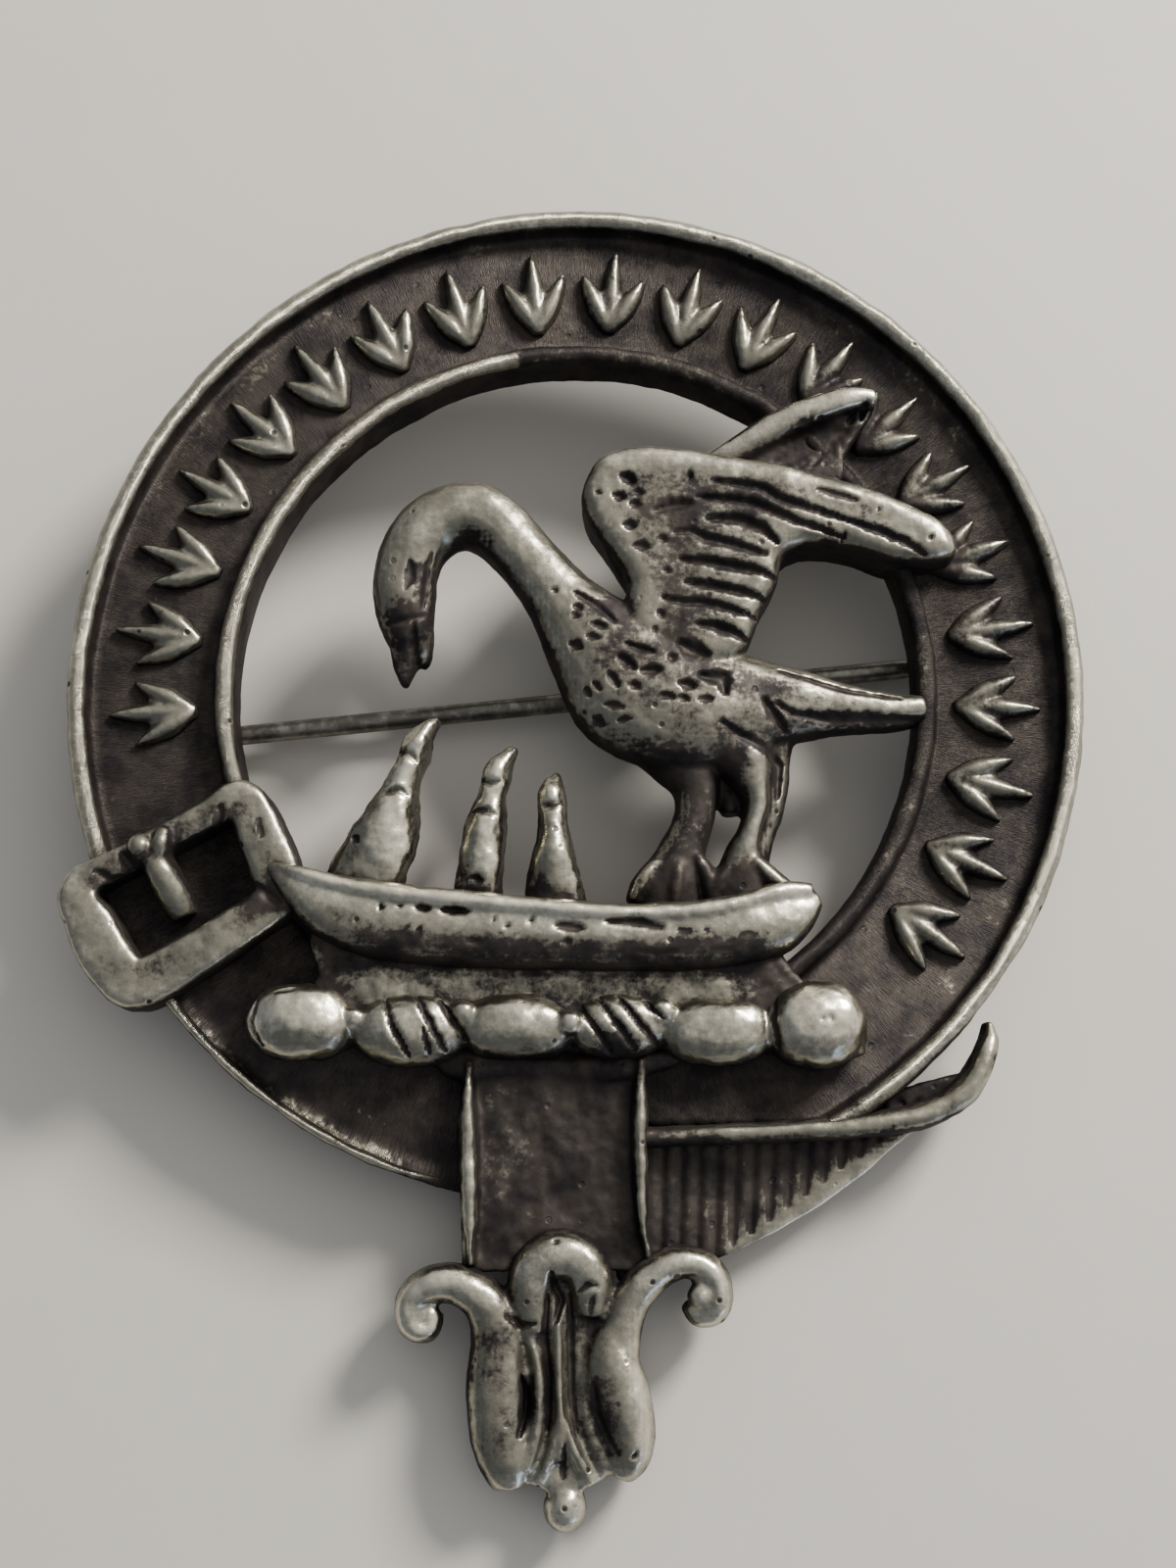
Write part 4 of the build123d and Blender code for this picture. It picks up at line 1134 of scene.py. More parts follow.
def cast_silver(name, wear_shift, film, marks):
    """Cast sterling silver, blackened with liver of sulphur and rubbed back by wear.

    High spots are pale and soft-edged, cuts and corners stay black-brown, and between them
    the tarnish breaks up into specks, which gives the eye age and depth.
    """
    colours = bpy.context.scene.silver_colours
    material, tree, shader = new_material(name)
    place = node(tree, "ShaderNodeTexCoord").outputs["Object"]
    worn = node(tree, "ShaderNodeAttribute", attribute_name="worn").outputs["Fac"]
    # Clouds of tarnish 1.4 mm across, specks 0.22 mm across and casting pits 0.7 mm apart.
    cloud = node(
        tree,
        "ShaderNodeTexNoise",
        {"Vector": place, "Scale": 1 / 0.0014, "Detail": 4.0, "Roughness": 0.62},
    ).outputs["Fac"]
    speck = node(
        tree,
        "ShaderNodeTexNoise",
        {"Vector": place, "Scale": 1 / 0.00022, "Detail": 3.0, "Roughness": 0.7},
    ).outputs["Fac"]
    cells = node(
        tree,
        "ShaderNodeTexVoronoi",
        {"Vector": place, "Scale": 1 / 0.0007, "Randomness": 1.0},
    )
    pit = node(
        tree,
        "ShaderNodeMapRange",
        {"Value": cells.outputs["Distance"], "From Min": 0.1, "From Max": 0.2},
    ).outputs["Result"]
    chosen = node(
        tree,
        "ShaderNodeMapRange",
        {"Value": cells.outputs["Color"], "From Min": 0.3, "From Max": 0.36},
    ).outputs["Result"]
    unpitted = node(
        tree, "ShaderNodeMath", {0: pit, 1: chosen}, operation="MAXIMUM"
    ).outputs["Value"]
    # Wear with the painted light and shade of the stains, broken up by the clouds and the specks.
    broken = node(
        tree, "ShaderNodeMath", {0: cloud, 1: 0.75, 2: worn}, operation="MULTIPLY_ADD"
    ).outputs["Value"]
    broken = node(
        tree, "ShaderNodeMath", {0: speck, 1: 0.5, 2: broken}, operation="MULTIPLY_ADD"
    ).outputs["Value"]
    rubbed = node(
        tree,
        "ShaderNodeMapRange",
        {"Value": broken, "From Min": 0.98 - wear_shift, "From Max": 1.3 - wear_shift},
        interpolation_type="SMOOTHSTEP",
    ).outputs["Result"]
    rubbed = node(
        tree, "ShaderNodeMath", {0: rubbed, 1: unpitted}, operation="MULTIPLY"
    ).outputs["Value"]
    polished = node(
        tree,
        "ShaderNodeMapRange",
        {"Value": broken, "From Min": 1.28 - wear_shift, "From Max": 1.95 - wear_shift},
        interpolation_type="SMOOTHSTEP",
    ).outputs["Result"]
    thick = node(
        tree,
        "ShaderNodeMapRange",
        {"Value": cloud, "From Min": 0.36, "From Max": 0.6},
        interpolation_type="SMOOTHSTEP",
    ).outputs["Result"]
    tarnish = node(
        tree,
        "ShaderNodeMix",
        {0: thick, 6: (*colours.black, 1), 7: (*colours.brown, 1)},
        data_type="RGBA",
    ).outputs[2]
    silver = node(
        tree,
        "ShaderNodeMix",
        {0: polished, 6: (*colours.dull, 1), 7: (*colours.bright, 1)},
        data_type="RGBA",
    ).outputs[2]
    colour = node(
        tree, "ShaderNodeMix", {0: rubbed, 6: tarnish, 7: silver}, data_type="RGBA"
    ).outputs[2]
    tree.links.new(colour, shader.inputs["Base Color"])
    metal = node(
        tree, "ShaderNodeMapRange", {"Value": rubbed, "To Min": 0.72, "To Max": 1.0}
    ).outputs["Result"]
    tree.links.new(metal, shader.inputs["Metallic"])
    # Tarnish drinks the light that would glance off its edges.
    edge = node(
        tree,
        "ShaderNodeMix",
        {0: rubbed, 6: (*colours.edge, 1), 7: (1.0, 1.0, 1.0, 1)},
        data_type="RGBA",
    ).outputs[2]
    tree.links.new(edge, shader.inputs["Specular Tint"])
    gloss = node(
        tree,
        "ShaderNodeMapRange",
        {"Value": rubbed, "To Min": 0.56 - film, "To Max": 0.34 - film},
    ).outputs["Result"]
    gloss = node(
        tree, "ShaderNodeMath", {0: speck, 1: 0.16, 2: gloss}, operation="MULTIPLY_ADD"
    ).outputs["Value"]
    gloss = node(
        tree, "ShaderNodeMath", {0: gloss, 1: 0.08}, operation="SUBTRACT"
    ).outputs["Value"]
    tree.links.new(gloss, shader.inputs["Roughness"])
    # Relief: specks, clouds and pits, and on the band the radial marks of the scraper.
    relief = node(
        tree, "ShaderNodeMath", {0: speck, 1: 0.35, 2: unpitted}, operation="MULTIPLY_ADD"
    ).outputs["Value"]
    relief = node(
        tree, "ShaderNodeMath", {0: cloud, 1: 0.5, 2: relief}, operation="MULTIPLY_ADD"
    ).outputs["Value"]
    if marks:
        around = node(tree, "ShaderNodeAttribute", attribute_name="around").outputs["Fac"]
        out = node(tree, "ShaderNodeAttribute", attribute_name="outward").outputs["Fac"]
        run = node(
            tree, "ShaderNodeCombineXYZ", {"X": around, "Y": out}
        ).outputs["Vector"]
        run = node(
            tree, "ShaderNodeVectorMath", {0: run, 1: SCRAPES_A_PART}, operation="MULTIPLY"
        ).outputs["Vector"]
        scrape = node(
            tree, "ShaderNodeTexNoise", {"Vector": run, "Scale": 1.0, "Detail": 3.0}
        ).outputs["Fac"]
        relief = node(
            tree, "ShaderNodeMath", {0: scrape, 1: 1.8, 2: relief}, operation="MULTIPLY_ADD"
        ).outputs["Value"]
    bump = node(
        tree,
        "ShaderNodeBump",
        {"Height": relief, "Strength": 0.75, "Distance": 0.00004},
    ).outputs["Normal"]
    tree.links.new(bump, shader.inputs["Normal"])
    return material


def drawn_wire(name):
    """Drawn silver wire, grey from handling, with faint lines along its length."""
    colours = bpy.context.scene.silver_colours
    material, tree, shader = new_material(name)
    place = node(tree, "ShaderNodeTexCoord").outputs["Object"]
    # Twelve draw lines a millimetre that run along the stem, and stains 0.9 mm across.
    along = node(
        tree,
        "ShaderNodeMapping",
        {"Vector": place, "Rotation": (0, 0, -PIN_TURN), "Scale": (300, 12000, 12000)},
    ).outputs["Vector"]
    lines = node(
        tree, "ShaderNodeTexNoise", {"Vector": along, "Scale": 1.0, "Detail": 2.0}
    ).outputs["Fac"]
    stain = node(
        tree,
        "ShaderNodeTexNoise",
        {"Vector": place, "Scale": 1 / 0.0009, "Detail": 4.0, "Roughness": 0.65},
    ).outputs["Fac"]
    spread = node(
        tree,
        "ShaderNodeMapRange",
        {"Value": stain, "From Min": 0.42, "From Max": 0.62},
        interpolation_type="SMOOTHSTEP",
    ).outputs["Result"]
    colour = node(
        tree,
        "ShaderNodeMix",
        {0: spread, 6: (*[0.45 * c for c in colours.wire], 1), 7: (*colours.wire, 1)},
        data_type="RGBA",
    ).outputs[2]
    tree.links.new(colour, shader.inputs["Base Color"])
    shader.inputs["Metallic"].default_value = 1.0
    gloss = node(
        tree, "ShaderNodeMapRange", {"Value": lines, "To Min": 0.34, "To Max": 0.5}
    ).outputs["Result"]
    tree.links.new(gloss, shader.inputs["Roughness"])
    bump = node(
        tree, "ShaderNodeBump", {"Height": lines, "Strength": 0.3, "Distance": 0.00001}
    ).outputs["Normal"]
    tree.links.new(bump, shader.inputs["Normal"])
    return material


def pale_board(name):
    """Smooth painted board, matt, which gives the eye a plain ground.

    The faintest mottling, 6 mm across, keeps it from looking like a blank backdrop.
    """
    stage = bpy.context.scene.stage_settings
    material, tree, shader = new_material(name)
    place = node(tree, "ShaderNodeTexCoord").outputs["Object"]
    mottle = node(
        tree, "ShaderNodeTexNoise", {"Vector": place, "Scale": 1 / 0.006, "Detail": 4.0}
    ).outputs["Fac"]
    colour = node(
        tree,
        "ShaderNodeMix",
        {0: mottle, 6: (*[0.95 * c for c in stage.floor], 1), 7: (*stage.floor, 1)},
        data_type="RGBA",
    ).outputs[2]
    tree.links.new(colour, shader.inputs["Base Color"])
    shader.inputs["Roughness"].default_value = 0.85
    return material


# Operators


class BADGE_OT_finishes(bpy.types.Operator):
    """Make the finishes and put them on the pin and its rivet"""

    bl_idname = "badge.finishes"
    bl_label = "Finishes and pin"

    def execute(self, context):
        for finish in CAST_FINISHES:
            cast_silver(*finish)
        wire = drawn_wire("drawn_silver_wire")
        for name in ("pin_stem", "hinge_rivet"):
            data = frame["nodes"][name].data
            if data.materials:
                data.materials[0] = wire
            else:
                data.materials.append(wire)
        return {"FINISHED"}


class BADGE_OT_circlet(bpy.types.Operator):
    """Spin the strap ring with its two rims, and flatten it beyond the fold"""

    bl_idname = "badge.circlet"
    bl_label = "Strap ring"

    def execute(self, context):
        sizes = context.scene.strap_sizes
        # The uneven surface stays inside the strap's radius.
        outer = PART_COUNT - 0.9 * in_parts(context.scene.cast_sizes.unevenness)
        inner = outer - in_parts(sizes.width)
        face = in_parts(sizes.plate)
        rim = in_parts(sizes.rim_width) / 2
        spring = face + in_parts(sizes.rim_height) - rim
        foot_out, foot_up = RIM_FOOT
        across = outer - inner - 4 * rim

        profile = [(inner, 0.0), (inner, spring * 0.5), (inner, spring)]
        for angle in np.radians(range(157, 0, -23)):
            profile.append((inner + rim + rim * math.cos(angle), spring + rim * math.sin(angle)))
        profile.append((inner + 2 * rim, spring))
        profile.append((inner + 2 * rim + foot_out, face + foot_up))
        for share in np.linspace(0.04, 0.96, FACE_POINTS):
            profile.append((inner + 2 * rim + share * across, face))
        profile.append((outer - 2 * rim - foot_out, face + foot_up))
        profile.append((outer - 2 * rim, spring))
        for angle in np.radians(range(161, 0, -20)):
            profile.append((outer - rim + rim * math.cos(angle), spring + rim * math.sin(angle)))
        profile += [(outer, spring), (outer, spring * 0.5), (outer, 0.0)]
        ring = bmesh.new()
        verts = [ring.verts.new((r, 0, z)) for r, z in profile]
        edges = [ring.edges.new(pair) for pair in zip(verts, verts[1:] + verts[:1])]
        bmesh.ops.spin(
            ring,
            geom=verts + edges,
            cent=(0, 0, 0),
            axis=(0, 0, 1),
            angle=math.tau,
            steps=RING_STEPS,
            use_merge=True,
        )
        mesh = to_mesh(ring, "strap_ring")

        points, _ = read_points(mesh)
        x, y = points[:, 0], points[:, 1]
        radius = np.hypot(x, y)
        turn = np.degrees(np.arctan2(y, x)) % 360
        tail_x, tail_y = FLAT_BELOW_TAIL
        fold_x, fold_y = FLAT_BESIDE_FOLD
        beyond = (y < tail_y) & (x > tail_x) | (y < fold_y) & (x > fold_x + 0.5 * (y - fold_y))
        points[beyond, 2] = np.minimum(points[beyond, 2], FLAT_TOP)
        filed = (turn > FILED_ARC[0]) & (turn < FILED_ARC[1])
        points[filed, 2] = np.minimum(points[filed, 2], face)
        before_tail = turn < THIN_ARC[1]
        thin = np.clip((turn - THIN_ARC[0]) / THIN_RUN, 0, 1) * before_tail
        rim_part = radius > outer - 2 * rim - 0.4
        inwards = THIN_NARROWED * (outer - radius) / np.maximum(radius, 1)
        narrow = np.where(rim_part, thin * inwards, 0)
        points[:, :2] *= 1 + narrow[:, None]
        fade = np.clip((turn - FADE_START) / FADE_RUN, 0, 1) * before_tail
        raised = np.maximum(points[:, 2] - face, 0)
        points[:, 2] -= raised * rim_part * np.maximum(THIN_LOWERED * thin, fade)
        move_points(mesh, points)
        keep_value(mesh, "around", ((turn + 90) % 360) * math.radians(1) * BAND_RADIUS)
        keep_value(mesh, "outward", radius)

        track = self.arc((inner + outer) / 2, 0, 360, 73)
        share, strength = TRACK_STAIN
        stains_and_painted_light = [((outer - inner) * share, strength, track)]
        # Painted shade along the inner rim.
        width, strength, span = INNER_RIM_PAINTED_SHADE
        stains_and_painted_light.append((width, strength, self.arc(inner + rim, *span, 33)))
        width, strength, span = EDGE_STAIN
        stains_and_painted_light.append((width, strength, self.arc(outer - 2 * rim - 1.0, *span, 12)))
        settle(mesh, "strap_ring", more_stains_and_painted_light=stains_and_painted_light)
        return {"FINISHED"}

    def arc(self, radius, start, end, count):
        """Points along a stretch of the ring."""
        return [in_turn(radius, angle) for angle in np.radians(np.linspace(start, end, count))]


class BADGE_OT_sprays(bpy.types.Operator):
    """Set the border of leaf sprays on the band"""

    bl_idname = "badge.sprays"
    bl_label = "Leaf border"

    def execute(self, context):
        sizes = context.scene.strap_sizes
        face = in_parts(sizes.plate)
        long_leaf = in_parts(sizes.leaf_length)
        side_leaf = in_parts(sizes.side_leaf_length)
        half = in_parts(sizes.leaf_width) / 2
        start = PART_COUNT - in_parts(sizes.width) / 2 - long_leaf / 2
        spray = ((long_leaf, 0), (side_leaf, SIDE_LEAF_TURN), (side_leaf, -SIDE_LEAF_TURN))
        leaves = bmesh.new()
        for i in range(sizes.spray_count):
            angle = sizes.spray_first - sizes.spray_arc * i / (sizes.spray_count - 1)
            for leaf, open_by in spray:
                rows = []
                for share, wide, top in LEAF_SECTIONS:
                    out = start + share * leaf * math.cos(open_by)
                    aside = share * leaf * math.sin(open_by)
                    x = out * math.cos(angle) - aside * math.sin(angle)
                    y = out * math.sin(angle) + aside * math.cos(angle)
                    rows.append((x, y, half * wide, face + top))
                limb(leaves, rows, face - LEAF_DEPTH, squareness=1.7, steps=2, segments=14)
        settle(melt(leaves, "leaf_sprays", smoothing=2), "leaf_sprays")
        return {"FINISHED"}


class BADGE_OT_buckle(bpy.types.Operator):
    """Build the buckle's frame and its tongue"""

    bl_idname = "badge.buckle"
    bl_label = "Buckle"

    def execute(self, context):
        buckle = bmesh.new()
        limb(buckle, BUCKLE_ROWS, BUCKLE_BACK, squareness=6.0, closed=True)
        for rows in TONGUE_TABLES:
            limb(buckle, rows, TONGUE_BACK)
        settle(melt(buckle, "buckle", smoothing=3), "buckle")
        return {"FINISHED"}


class BADGE_OT_strap_end(bpy.types.Operator):
    """Build the hanging strap end, the fold and the ribbed back of the turned strap"""

    bl_idname = "badge.strap_end"
    bl_label = "Strap end and fold"

    def execute(self, context):
        tail = bmesh.new()
        pad(tail, TAIL_OUTLINE, TAIL_BACK, TAIL_TOP, steps=1)
        for rows in TAIL_EDGE_TABLES:
            limb(tail, rows, TAIL_EDGE_BACK, squareness=2.6)
        limb(tail, SOLDER_ROWS, SOLDER_BACK)
        settle(melt(tail, "strap_tail"), "strap_tail")

        turned = bmesh.new()
        pad(turned, TURNED_OUTLINE, TURNED_BACK, TURNED_TOP, TURNED_SHOULDER, steps=2)
        edge_x, edge_y = LOWER_EDGE_PLACE
        ribs = []
        for i in range(RIB_COUNT):
            x = RIB_FIRST + RIB_PITCH * i
            low = max(RIB_LOWEST, edge_y - LOWER_EDGE_SLOPE * (edge_x - x))
            # Each rib leans a little as it goes down.
            path = [(x, RIB_START), (x - 0.5, (low + RIB_START) / 2), (x - 1.0, low)]
            ribs.append((RIB_WIDTH, RIB_DEPTH, path))
        settle(melt(turned, "turned_strap", smoothing=2), "turned_strap", more_cuts=ribs)

        fold = bmesh.new()
        limb(fold, FOLD_ROWS, FOLD_BACK, squareness=2.6, steps=6)
        settle(melt(fold, "fold_ridge"), "fold_ridge")
        return {"FINISHED"}


class BADGE_OT_chape(bpy.types.Operator):
    """Build the chape with its loop, lobes, volutes, fork and ball"""

    bl_idname = "badge.chape"
    bl_label = "Chape"

    def execute(self, context):
        back = in_parts(context.scene.cast_sizes.chape_back)
        chape = bmesh.new()
        pad(chape, CHAPE_PLATE_OUTLINE, 0.0, CHAPE_PLATE_TOP, CHAPE_PLATE_SHOULDER)
        for rows in CHAPE_LIMB_TABLES:
            limb(chape, rows, back + CHAPE_LIMB_LIFT)
        for head in VOLUTE_HEADS:
            bead(chape, *head)
        bead(chape, *CHAPE_BALL, stretch=CHAPE_BALL_STRETCH)
        settle(melt(chape, "chape", smoothing=6), "chape")
        return {"FINISHED"}


class BADGE_OT_bird(bpy.types.Operator):
    """Build the bird with its wings and legs"""

    bl_idname = "badge.bird"
    bl_label = "Bird"

    def execute(self, context):
        back = in_parts(context.scene.cast_sizes.crest_back)
        bird = bmesh.new()
        limb(bird, FIGURE_ROWS, back)
        limb(bird, UPPER_BILL_ROWS, back + BILL_LIFT)
        limb(bird, LOWER_BILL_ROWS, back + BILL_LIFT)
        for rows in [FAR_LEG_ROWS, NEAR_LEG_ROWS] + WEB_TABLES + FOOT_TABLES:
            limb(bird, rows, back)
        pad(bird, NEAR_WING_OUTLINE, back, WING_TOP, WING_SHOULDER, steps=2)
        # The bird has the finest cuts, so it gets a finer grain than the rest.
        settle(melt(bird, "bird", smoothing=7, grain_share=0.87), "bird")

        far_wing = bmesh.new()
        limb(far_wing, FAR_WING_EDGE_ROWS, back, squareness=3.0)
        pad(far_wing, FAR_WING_BLADE_OUTLINE, back, FAR_WING_TOP, FAR_WING_SHOULDER, steps=2)
        settle(melt(far_wing, "far_wing", smoothing=6), "far_wing")
        return {"FINISHED"}


class BADGE_OT_nest(bpy.types.Operator):
    """Build the nest, its chicks and the ground under it"""

    bl_idname = "badge.nest"
    bl_label = "Nest and chicks"

    def execute(self, context):
        back = in_parts(context.scene.cast_sizes.crest_back)
        nest = bmesh.new()
        limb(nest, NEST_BODY_ROWS, back, squareness=2.8)
        limb(nest, NEST_LIP_ROWS, back + LIP_LIFT)
        settle(melt(nest, "nest"), "nest")

        chicks = bmesh.new()
        for rows in CHICK_TABLES:
            limb(chicks, rows, back)
        for rows in CHICK_BILL_TABLES:
            limb(chicks, rows, back + CHICK_BILL_LIFT)
        settle(melt(chicks, "chicks", smoothing=3), "chicks")

        ground = bmesh.new()
        pad(ground, GROUND_OUTLINE, back, GROUND_TOP, GROUND_SHOULDER, steps=2)
        settle(melt(ground, "ground"), "ground")
        return {"FINISHED"}


class BADGE_OT_wreath(bpy.types.Operator):
    """Build the wreath of six twists"""

    bl_idname = "badge.wreath"
    bl_label = "Wreath"

    def execute(self, context):
        wreath = bmesh.new()
        for x, y, half_length, half_width in TWIST_ROWS:
            rows = []
            for share, wide in TWIST_SECTIONS:
                reach = half_width * wide
                rows.append((x + share * half_length, y, reach, TWIST_MIDDLE + reach))
            limb(wreath, rows, TWIST_MIDDLE - half_width * TWIST_DEPTH)
        core = [(x, y, CORE_HALF_WIDTH, TWIST_MIDDLE + CORE_RISE) for x, y, _, _ in TWIST_ROWS]
        limb(wreath, core, TWIST_MIDDLE - CORE_DEPTH)
        for nib in NIB_ROWS:
            bead(wreath, *nib)
        settle(melt(wreath, "wreath", smoothing=3), "wreath")
        return {"FINISHED"}


class BADGE_OT_back_fittings(bpy.types.Operator):
    """Build the hinge plate with its ears and the open catch"""

    bl_idname = "badge.back_fittings"
    bl_label = "Hinge and catch"

    def execute(self, context):
        sizes = context.scene.fitting_sizes
        middle = PART_COUNT - in_parts(context.scene.strap_sizes.width) / 2
        onto_pin = Matrix.Translation((0, in_parts(sizes.side_offset), 0))
        onto_pin = onto_pin @ Matrix.Rotation(PIN_TURN, 4, "Z")
        fittings = bmesh.new()
        self.hinge(fittings, sizes, -middle - in_parts(sizes.hinge_outset))
        self.catch(fittings, sizes, middle - in_parts(sizes.catch_width) / 2)
        bmesh.ops.transform(fittings, matrix=onto_pin, verts=fittings.verts)
        settle(to_mesh(fittings, "back_fittings"), "back_fittings")
        return {"FINISHED"}

    def hinge(self, mesh, sizes, hinge_x):
        """A plate with two bored ears that hang from it."""
        plate = in_parts(sizes.plate)
        drop = in_parts(sizes.stem_drop)
        ear = in_parts(sizes.ear_radius)
        thick = in_parts(sizes.ear_thickness)
        bore = in_parts(sizes.rivet_bore)
        gap = in_parts(sizes.ear_inside) / 2
        place = Matrix.Translation((hinge_x, 0, (SUNK - plate) / 2))
        size = (in_parts(sizes.hinge_plate), 2 * (gap + thick), plate + SUNK)
        bmesh.ops.create_cube(mesh, size=1, matrix=place @ Matrix.Diagonal((*size, 1)))
        for side in (-1, 1):
            face_y = side * (gap + (thick if side > 0 else 0))
            loops = []
            for kind in ("outline", "bore"):
                made = bmesh.ops.create_circle(mesh, cap_ends=False, segments=48, radius=1)
                ring = made["verts"]
                for vert in ring:
                    if kind == "bore":
                        reach = bore
                    elif vert.co.y <= 0:
                        reach = ear
                    else:
                        reach = min(ear / max(abs(vert.co.x), 1e-6), (drop + SUNK) / vert.co.y)
                    vert.co = (hinge_x + reach * vert.co.x, face_y, reach * vert.co.y - drop)
                loops += {edge for vert in ring for edge in vert.link_edges}
            faces = bmesh.ops.bridge_loops(mesh, edges=loops)["faces"]
            raise_faces(mesh, faces, (0, -thick, 0))

    def catch(self, mesh, sizes, catch_x):
        """A strip bent to a hook that is open on one side."""
        plate = in_parts(sizes.plate)
        wire = in_parts(sizes.wire_radius)
        wall = in_parts(sizes.catch_wall)
        near_side = -wire - wall
        far_side = in_parts(sizes.catch_mouth) + wire + wall
        low = -in_parts(sizes.stem_drop) - wire - in_parts(sizes.catch_room) - wall
        lip = wire + in_parts(sizes.catch_lip_side)
        outline = [
            (near_side, SUNK),
            (far_side, SUNK),
            (far_side, low),
            (lip, low),
            (lip, low + wall),
            (far_side - wall, low + wall),
            (far_side - wall, -plate),
            (near_side, -plate),
        ]
        hook = mesh.faces.new([mesh.verts.new((catch_x, y, z)) for y, z in outline])
        raise_faces(mesh, [hook], (in_parts(sizes.catch_width), 0, 0))


class BADGE_OT_patina(bpy.types.Operator):
    """Work out where the silver is rubbed bright and where the black stays, with the painted light
    and shade of the stains
    """

    bl_idname = "badge.patina"
    bl_label = "Wear and tarnish"

    def execute(self, context):
        cast = [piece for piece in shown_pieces() if "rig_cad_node" not in piece]
        flat = np.array(lay_parts().inverted())
        turn = flat[:3, :3] / np.linalg.norm(flat[:3, 0])
        wide, tall = MAP_CELLS
        heights = np.full(MAP_CELLS, MAP_FLOOR)
        read = {}
        for piece in cast:
            points, normals = read_points(piece.data)
            points = points @ flat[:3, :3].T + flat[:3, 3]
            columns = np.clip((points[:, 0] - MAP_LEFT).astype(int), 0, wide - 1)
            rows = np.clip((points[:, 1] - MAP_LOW).astype(int), 0, tall - 1)
            np.maximum.at(heights, (columns, rows), points[:, 2])
            read[piece.name] = (points[:, 2], (normals @ turn.T)[:, 2], (columns, rows))
        near = soften(heights, NEAR_SPREAD)
        wider = soften(heights, WIDE_SPREAD)
        for piece in cast:
            height, facing, cells = read[piece.name]
            proud = np.clip((height - near[cells]) / PROUD_HEIGHT, -1, 1)
            standing = np.clip((height - wider[cells]) / STANDING_HEIGHT, -1, 1)
            front = np.clip((facing - 0.05) / 0.6, 0, 1)
            worn = PLAIN_WEAR + PROUD_WEAR * proud + STANDING_WEAR * standing
            worn = worn * (0.2 + 0.8 * front)
            # Grime of the cuts, the stains and their painted light and shade come off the wear.
            grime = np.zeros(len(height), dtype=np.float32)
            piece.data.attributes["grime"].data.foreach_get("value", grime)
            worn = worn - grime
            # The back is dull all over.
            behind = np.clip(-facing * 1.6 - 0.4, 0, 1)
            keep_value(piece.data, "worn", worn * (1 - behind) + BACK_WEAR * behind)
        return {"FINISHED"}


class BADGE_OT_stage(bpy.types.Operator):
    """Lay the floor, hang the lights and set the camera"""

    bl_idname = "badge.stage"
    bl_label = "Stage"

    def execute(self, context):
        stage = context.scene.stage_settings
        self.lay_floor(context)
        self.hang_lights(context, stage)
        self.light_room(context, stage)
        self.set_camera(context, stage)
        return {"FINISHED"}

    def lay_floor(self, context):
        """A plain board under the badge."""
        board = bmesh.new()
        bmesh.ops.create_grid(board, x_segments=1, y_segments=1, size=FLOOR_REACH)
        data = bpy.data.meshes.new("floor")
        board.to_mesh(data)
        board.free()
        data.materials.append(pale_board("pale_painted_board"))
        floor = bpy.data.objects.new("floor", data)
        context.scene.collection.objects.link(floor)
        floor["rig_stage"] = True

    def hang_lights(self, context, stage):
        """Two soft lamps that look at the badge."""
        lay = lay_matrix()
        for name, place, wide, tall, power, code in LIGHTS:
            light = bpy.data.lights.new(name, "AREA")
            light.shape = "RECTANGLE"
            light.size = wide / 1000
            light.size_y = tall / 1000
            light.energy = getattr(stage, power)
            light.color = linear(code)
            lamp = bpy.data.objects.new(name, light)
            lamp.location = lay @ (Vector(place) / 1000)
            aim = lay @ (Vector(LIGHT_AIM) / 1000) - lamp.location
            lamp.rotation_euler = aim.to_track_quat("-Z", "Y").to_euler()
            context.scene.collection.objects.link(lamp)

    def light_room(self, context, stage):
        """A dim room with one bright side."""
        world = bpy.data.worlds.new("soft_room")
        world.use_nodes = True
        tree = world.node_tree
        gaze = node(tree, "ShaderNodeTexCoord").outputs["Generated"]
        side = lay_matrix().to_3x3() @ Vector(BRIGHT_SIDE).normalized()
        towards = node(
            tree, "ShaderNodeVectorMath", {0: gaze, 1: side}, operation="DOT_PRODUCT"
        ).outputs["Value"]
        lit = node(
            tree,
            "ShaderNodeMapRange",
            {"Value": towards, "From Min": -0.1, "From Max": 1.0},
            interpolation_type="SMOOTHSTEP",
        ).outputs["Result"]
        glow = node(
            tree, "ShaderNodeMix", {0: lit, 6: ROOM_SHADE, 7: ROOM_LIGHT}, data_type="RGBA"
        ).outputs[2]
        room = tree.nodes["Background"]
        tree.links.new(glow, room.inputs["Color"])
        room.inputs["Strength"].default_value = stage.room_glow
        context.scene.world = world

    def set_camera(self, context, stage):
        """The camera over the badge, leant towards the strap end."""
        tilt = stage.camera_tilt
        backward = Vector((0, -math.sin(tilt), math.cos(tilt)))
        stand = Matrix(((1, 0, 0), (0, math.cos(tilt), math.sin(tilt)), backward)).transposed()
        stand = stand.to_4x4()
        stand.translation = Vector(CAMERA_AIM) / 1000 + backward * stage.camera_distance
        eye = bpy.data.cameras.new("camera")
        eye.sensor_width = SENSOR_HEIGHT
        eye.lens = stage.focal_length
        eye.clip_start = 0.001
        camera = bpy.data.objects.new("camera", eye)
        camera.matrix_world = lay_matrix() @ stand
        context.scene.collection.objects.link(camera)
        context.scene.camera = camera


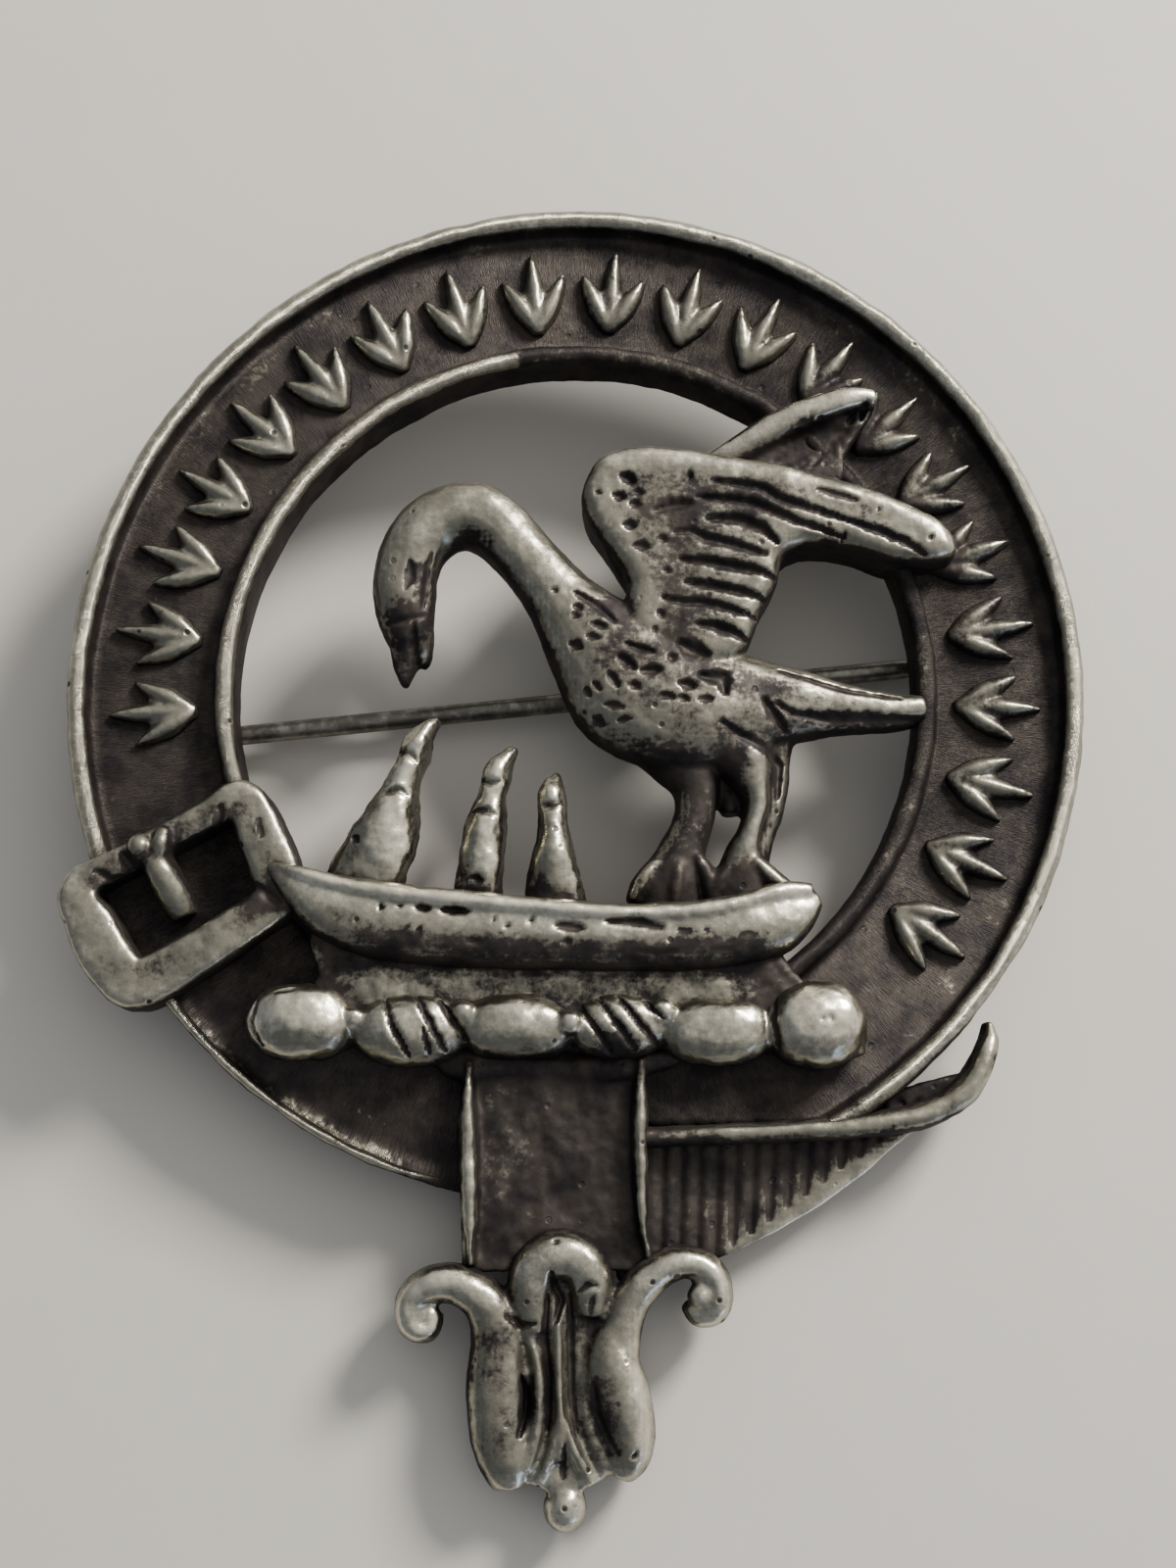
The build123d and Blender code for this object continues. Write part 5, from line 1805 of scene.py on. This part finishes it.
class BADGE_PT_panel(bpy.types.Panel):
    """Lists the badge's pieces and its sizes and colours."""

    bl_idname = "BADGE_PT_panel"
    bl_label = "Crest badge"
    bl_space_type = "VIEW_3D"
    bl_region_type = "UI"
    bl_category = "Crest badge"

    def draw(self, context):
        for group in PROPERTY_SLOTS:
            box = self.layout.box()
            settings = getattr(context.scene, group)
            for key in settings.bl_rna.properties.keys():
                if key not in ("rna_type", "name"):
                    box.prop(settings, key)
        for operator in OPERATORS:
            self.layout.operator(operator.bl_idname)


PROPERTY_SLOTS = {
    "strap_sizes": StrapSizes,
    "cast_sizes": CastSizes,
    "fitting_sizes": FittingSizes,
    "silver_colours": SilverColours,
    "stage_settings": StageSettings,
}
OPERATORS = (
    BADGE_OT_finishes,
    BADGE_OT_circlet,
    BADGE_OT_sprays,
    BADGE_OT_buckle,
    BADGE_OT_strap_end,
    BADGE_OT_chape,
    BADGE_OT_bird,
    BADGE_OT_nest,
    BADGE_OT_wreath,
    BADGE_OT_back_fittings,
    BADGE_OT_patina,
    BADGE_OT_stage,
)


def register():
    for slot_name, group in PROPERTY_SLOTS.items():
        bpy.utils.register_class(group)
        setattr(bpy.types.Scene, slot_name, PointerProperty(type=group))
    for operator in OPERATORS:
        bpy.utils.register_class(operator)
    bpy.utils.register_class(BADGE_PT_panel)


def unregister():
    bpy.utils.unregister_class(BADGE_PT_panel)
    for operator in reversed(OPERATORS):
        bpy.utils.unregister_class(operator)
    for slot_name, group in reversed(PROPERTY_SLOTS.items()):
        delattr(bpy.types.Scene, slot_name)
        bpy.utils.unregister_class(group)


def main():
    """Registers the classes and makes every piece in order."""
    register()
    bpy.ops.badge.finishes()
    bpy.ops.badge.circlet()
    bpy.ops.badge.sprays()
    bpy.ops.badge.buckle()
    bpy.ops.badge.strap_end()
    bpy.ops.badge.chape()
    bpy.ops.badge.bird()
    bpy.ops.badge.nest()
    bpy.ops.badge.wreath()
    bpy.ops.badge.back_fittings()
    bpy.ops.badge.patina()
    bpy.ops.badge.stage()


if __name__ == "__main__":
    main()
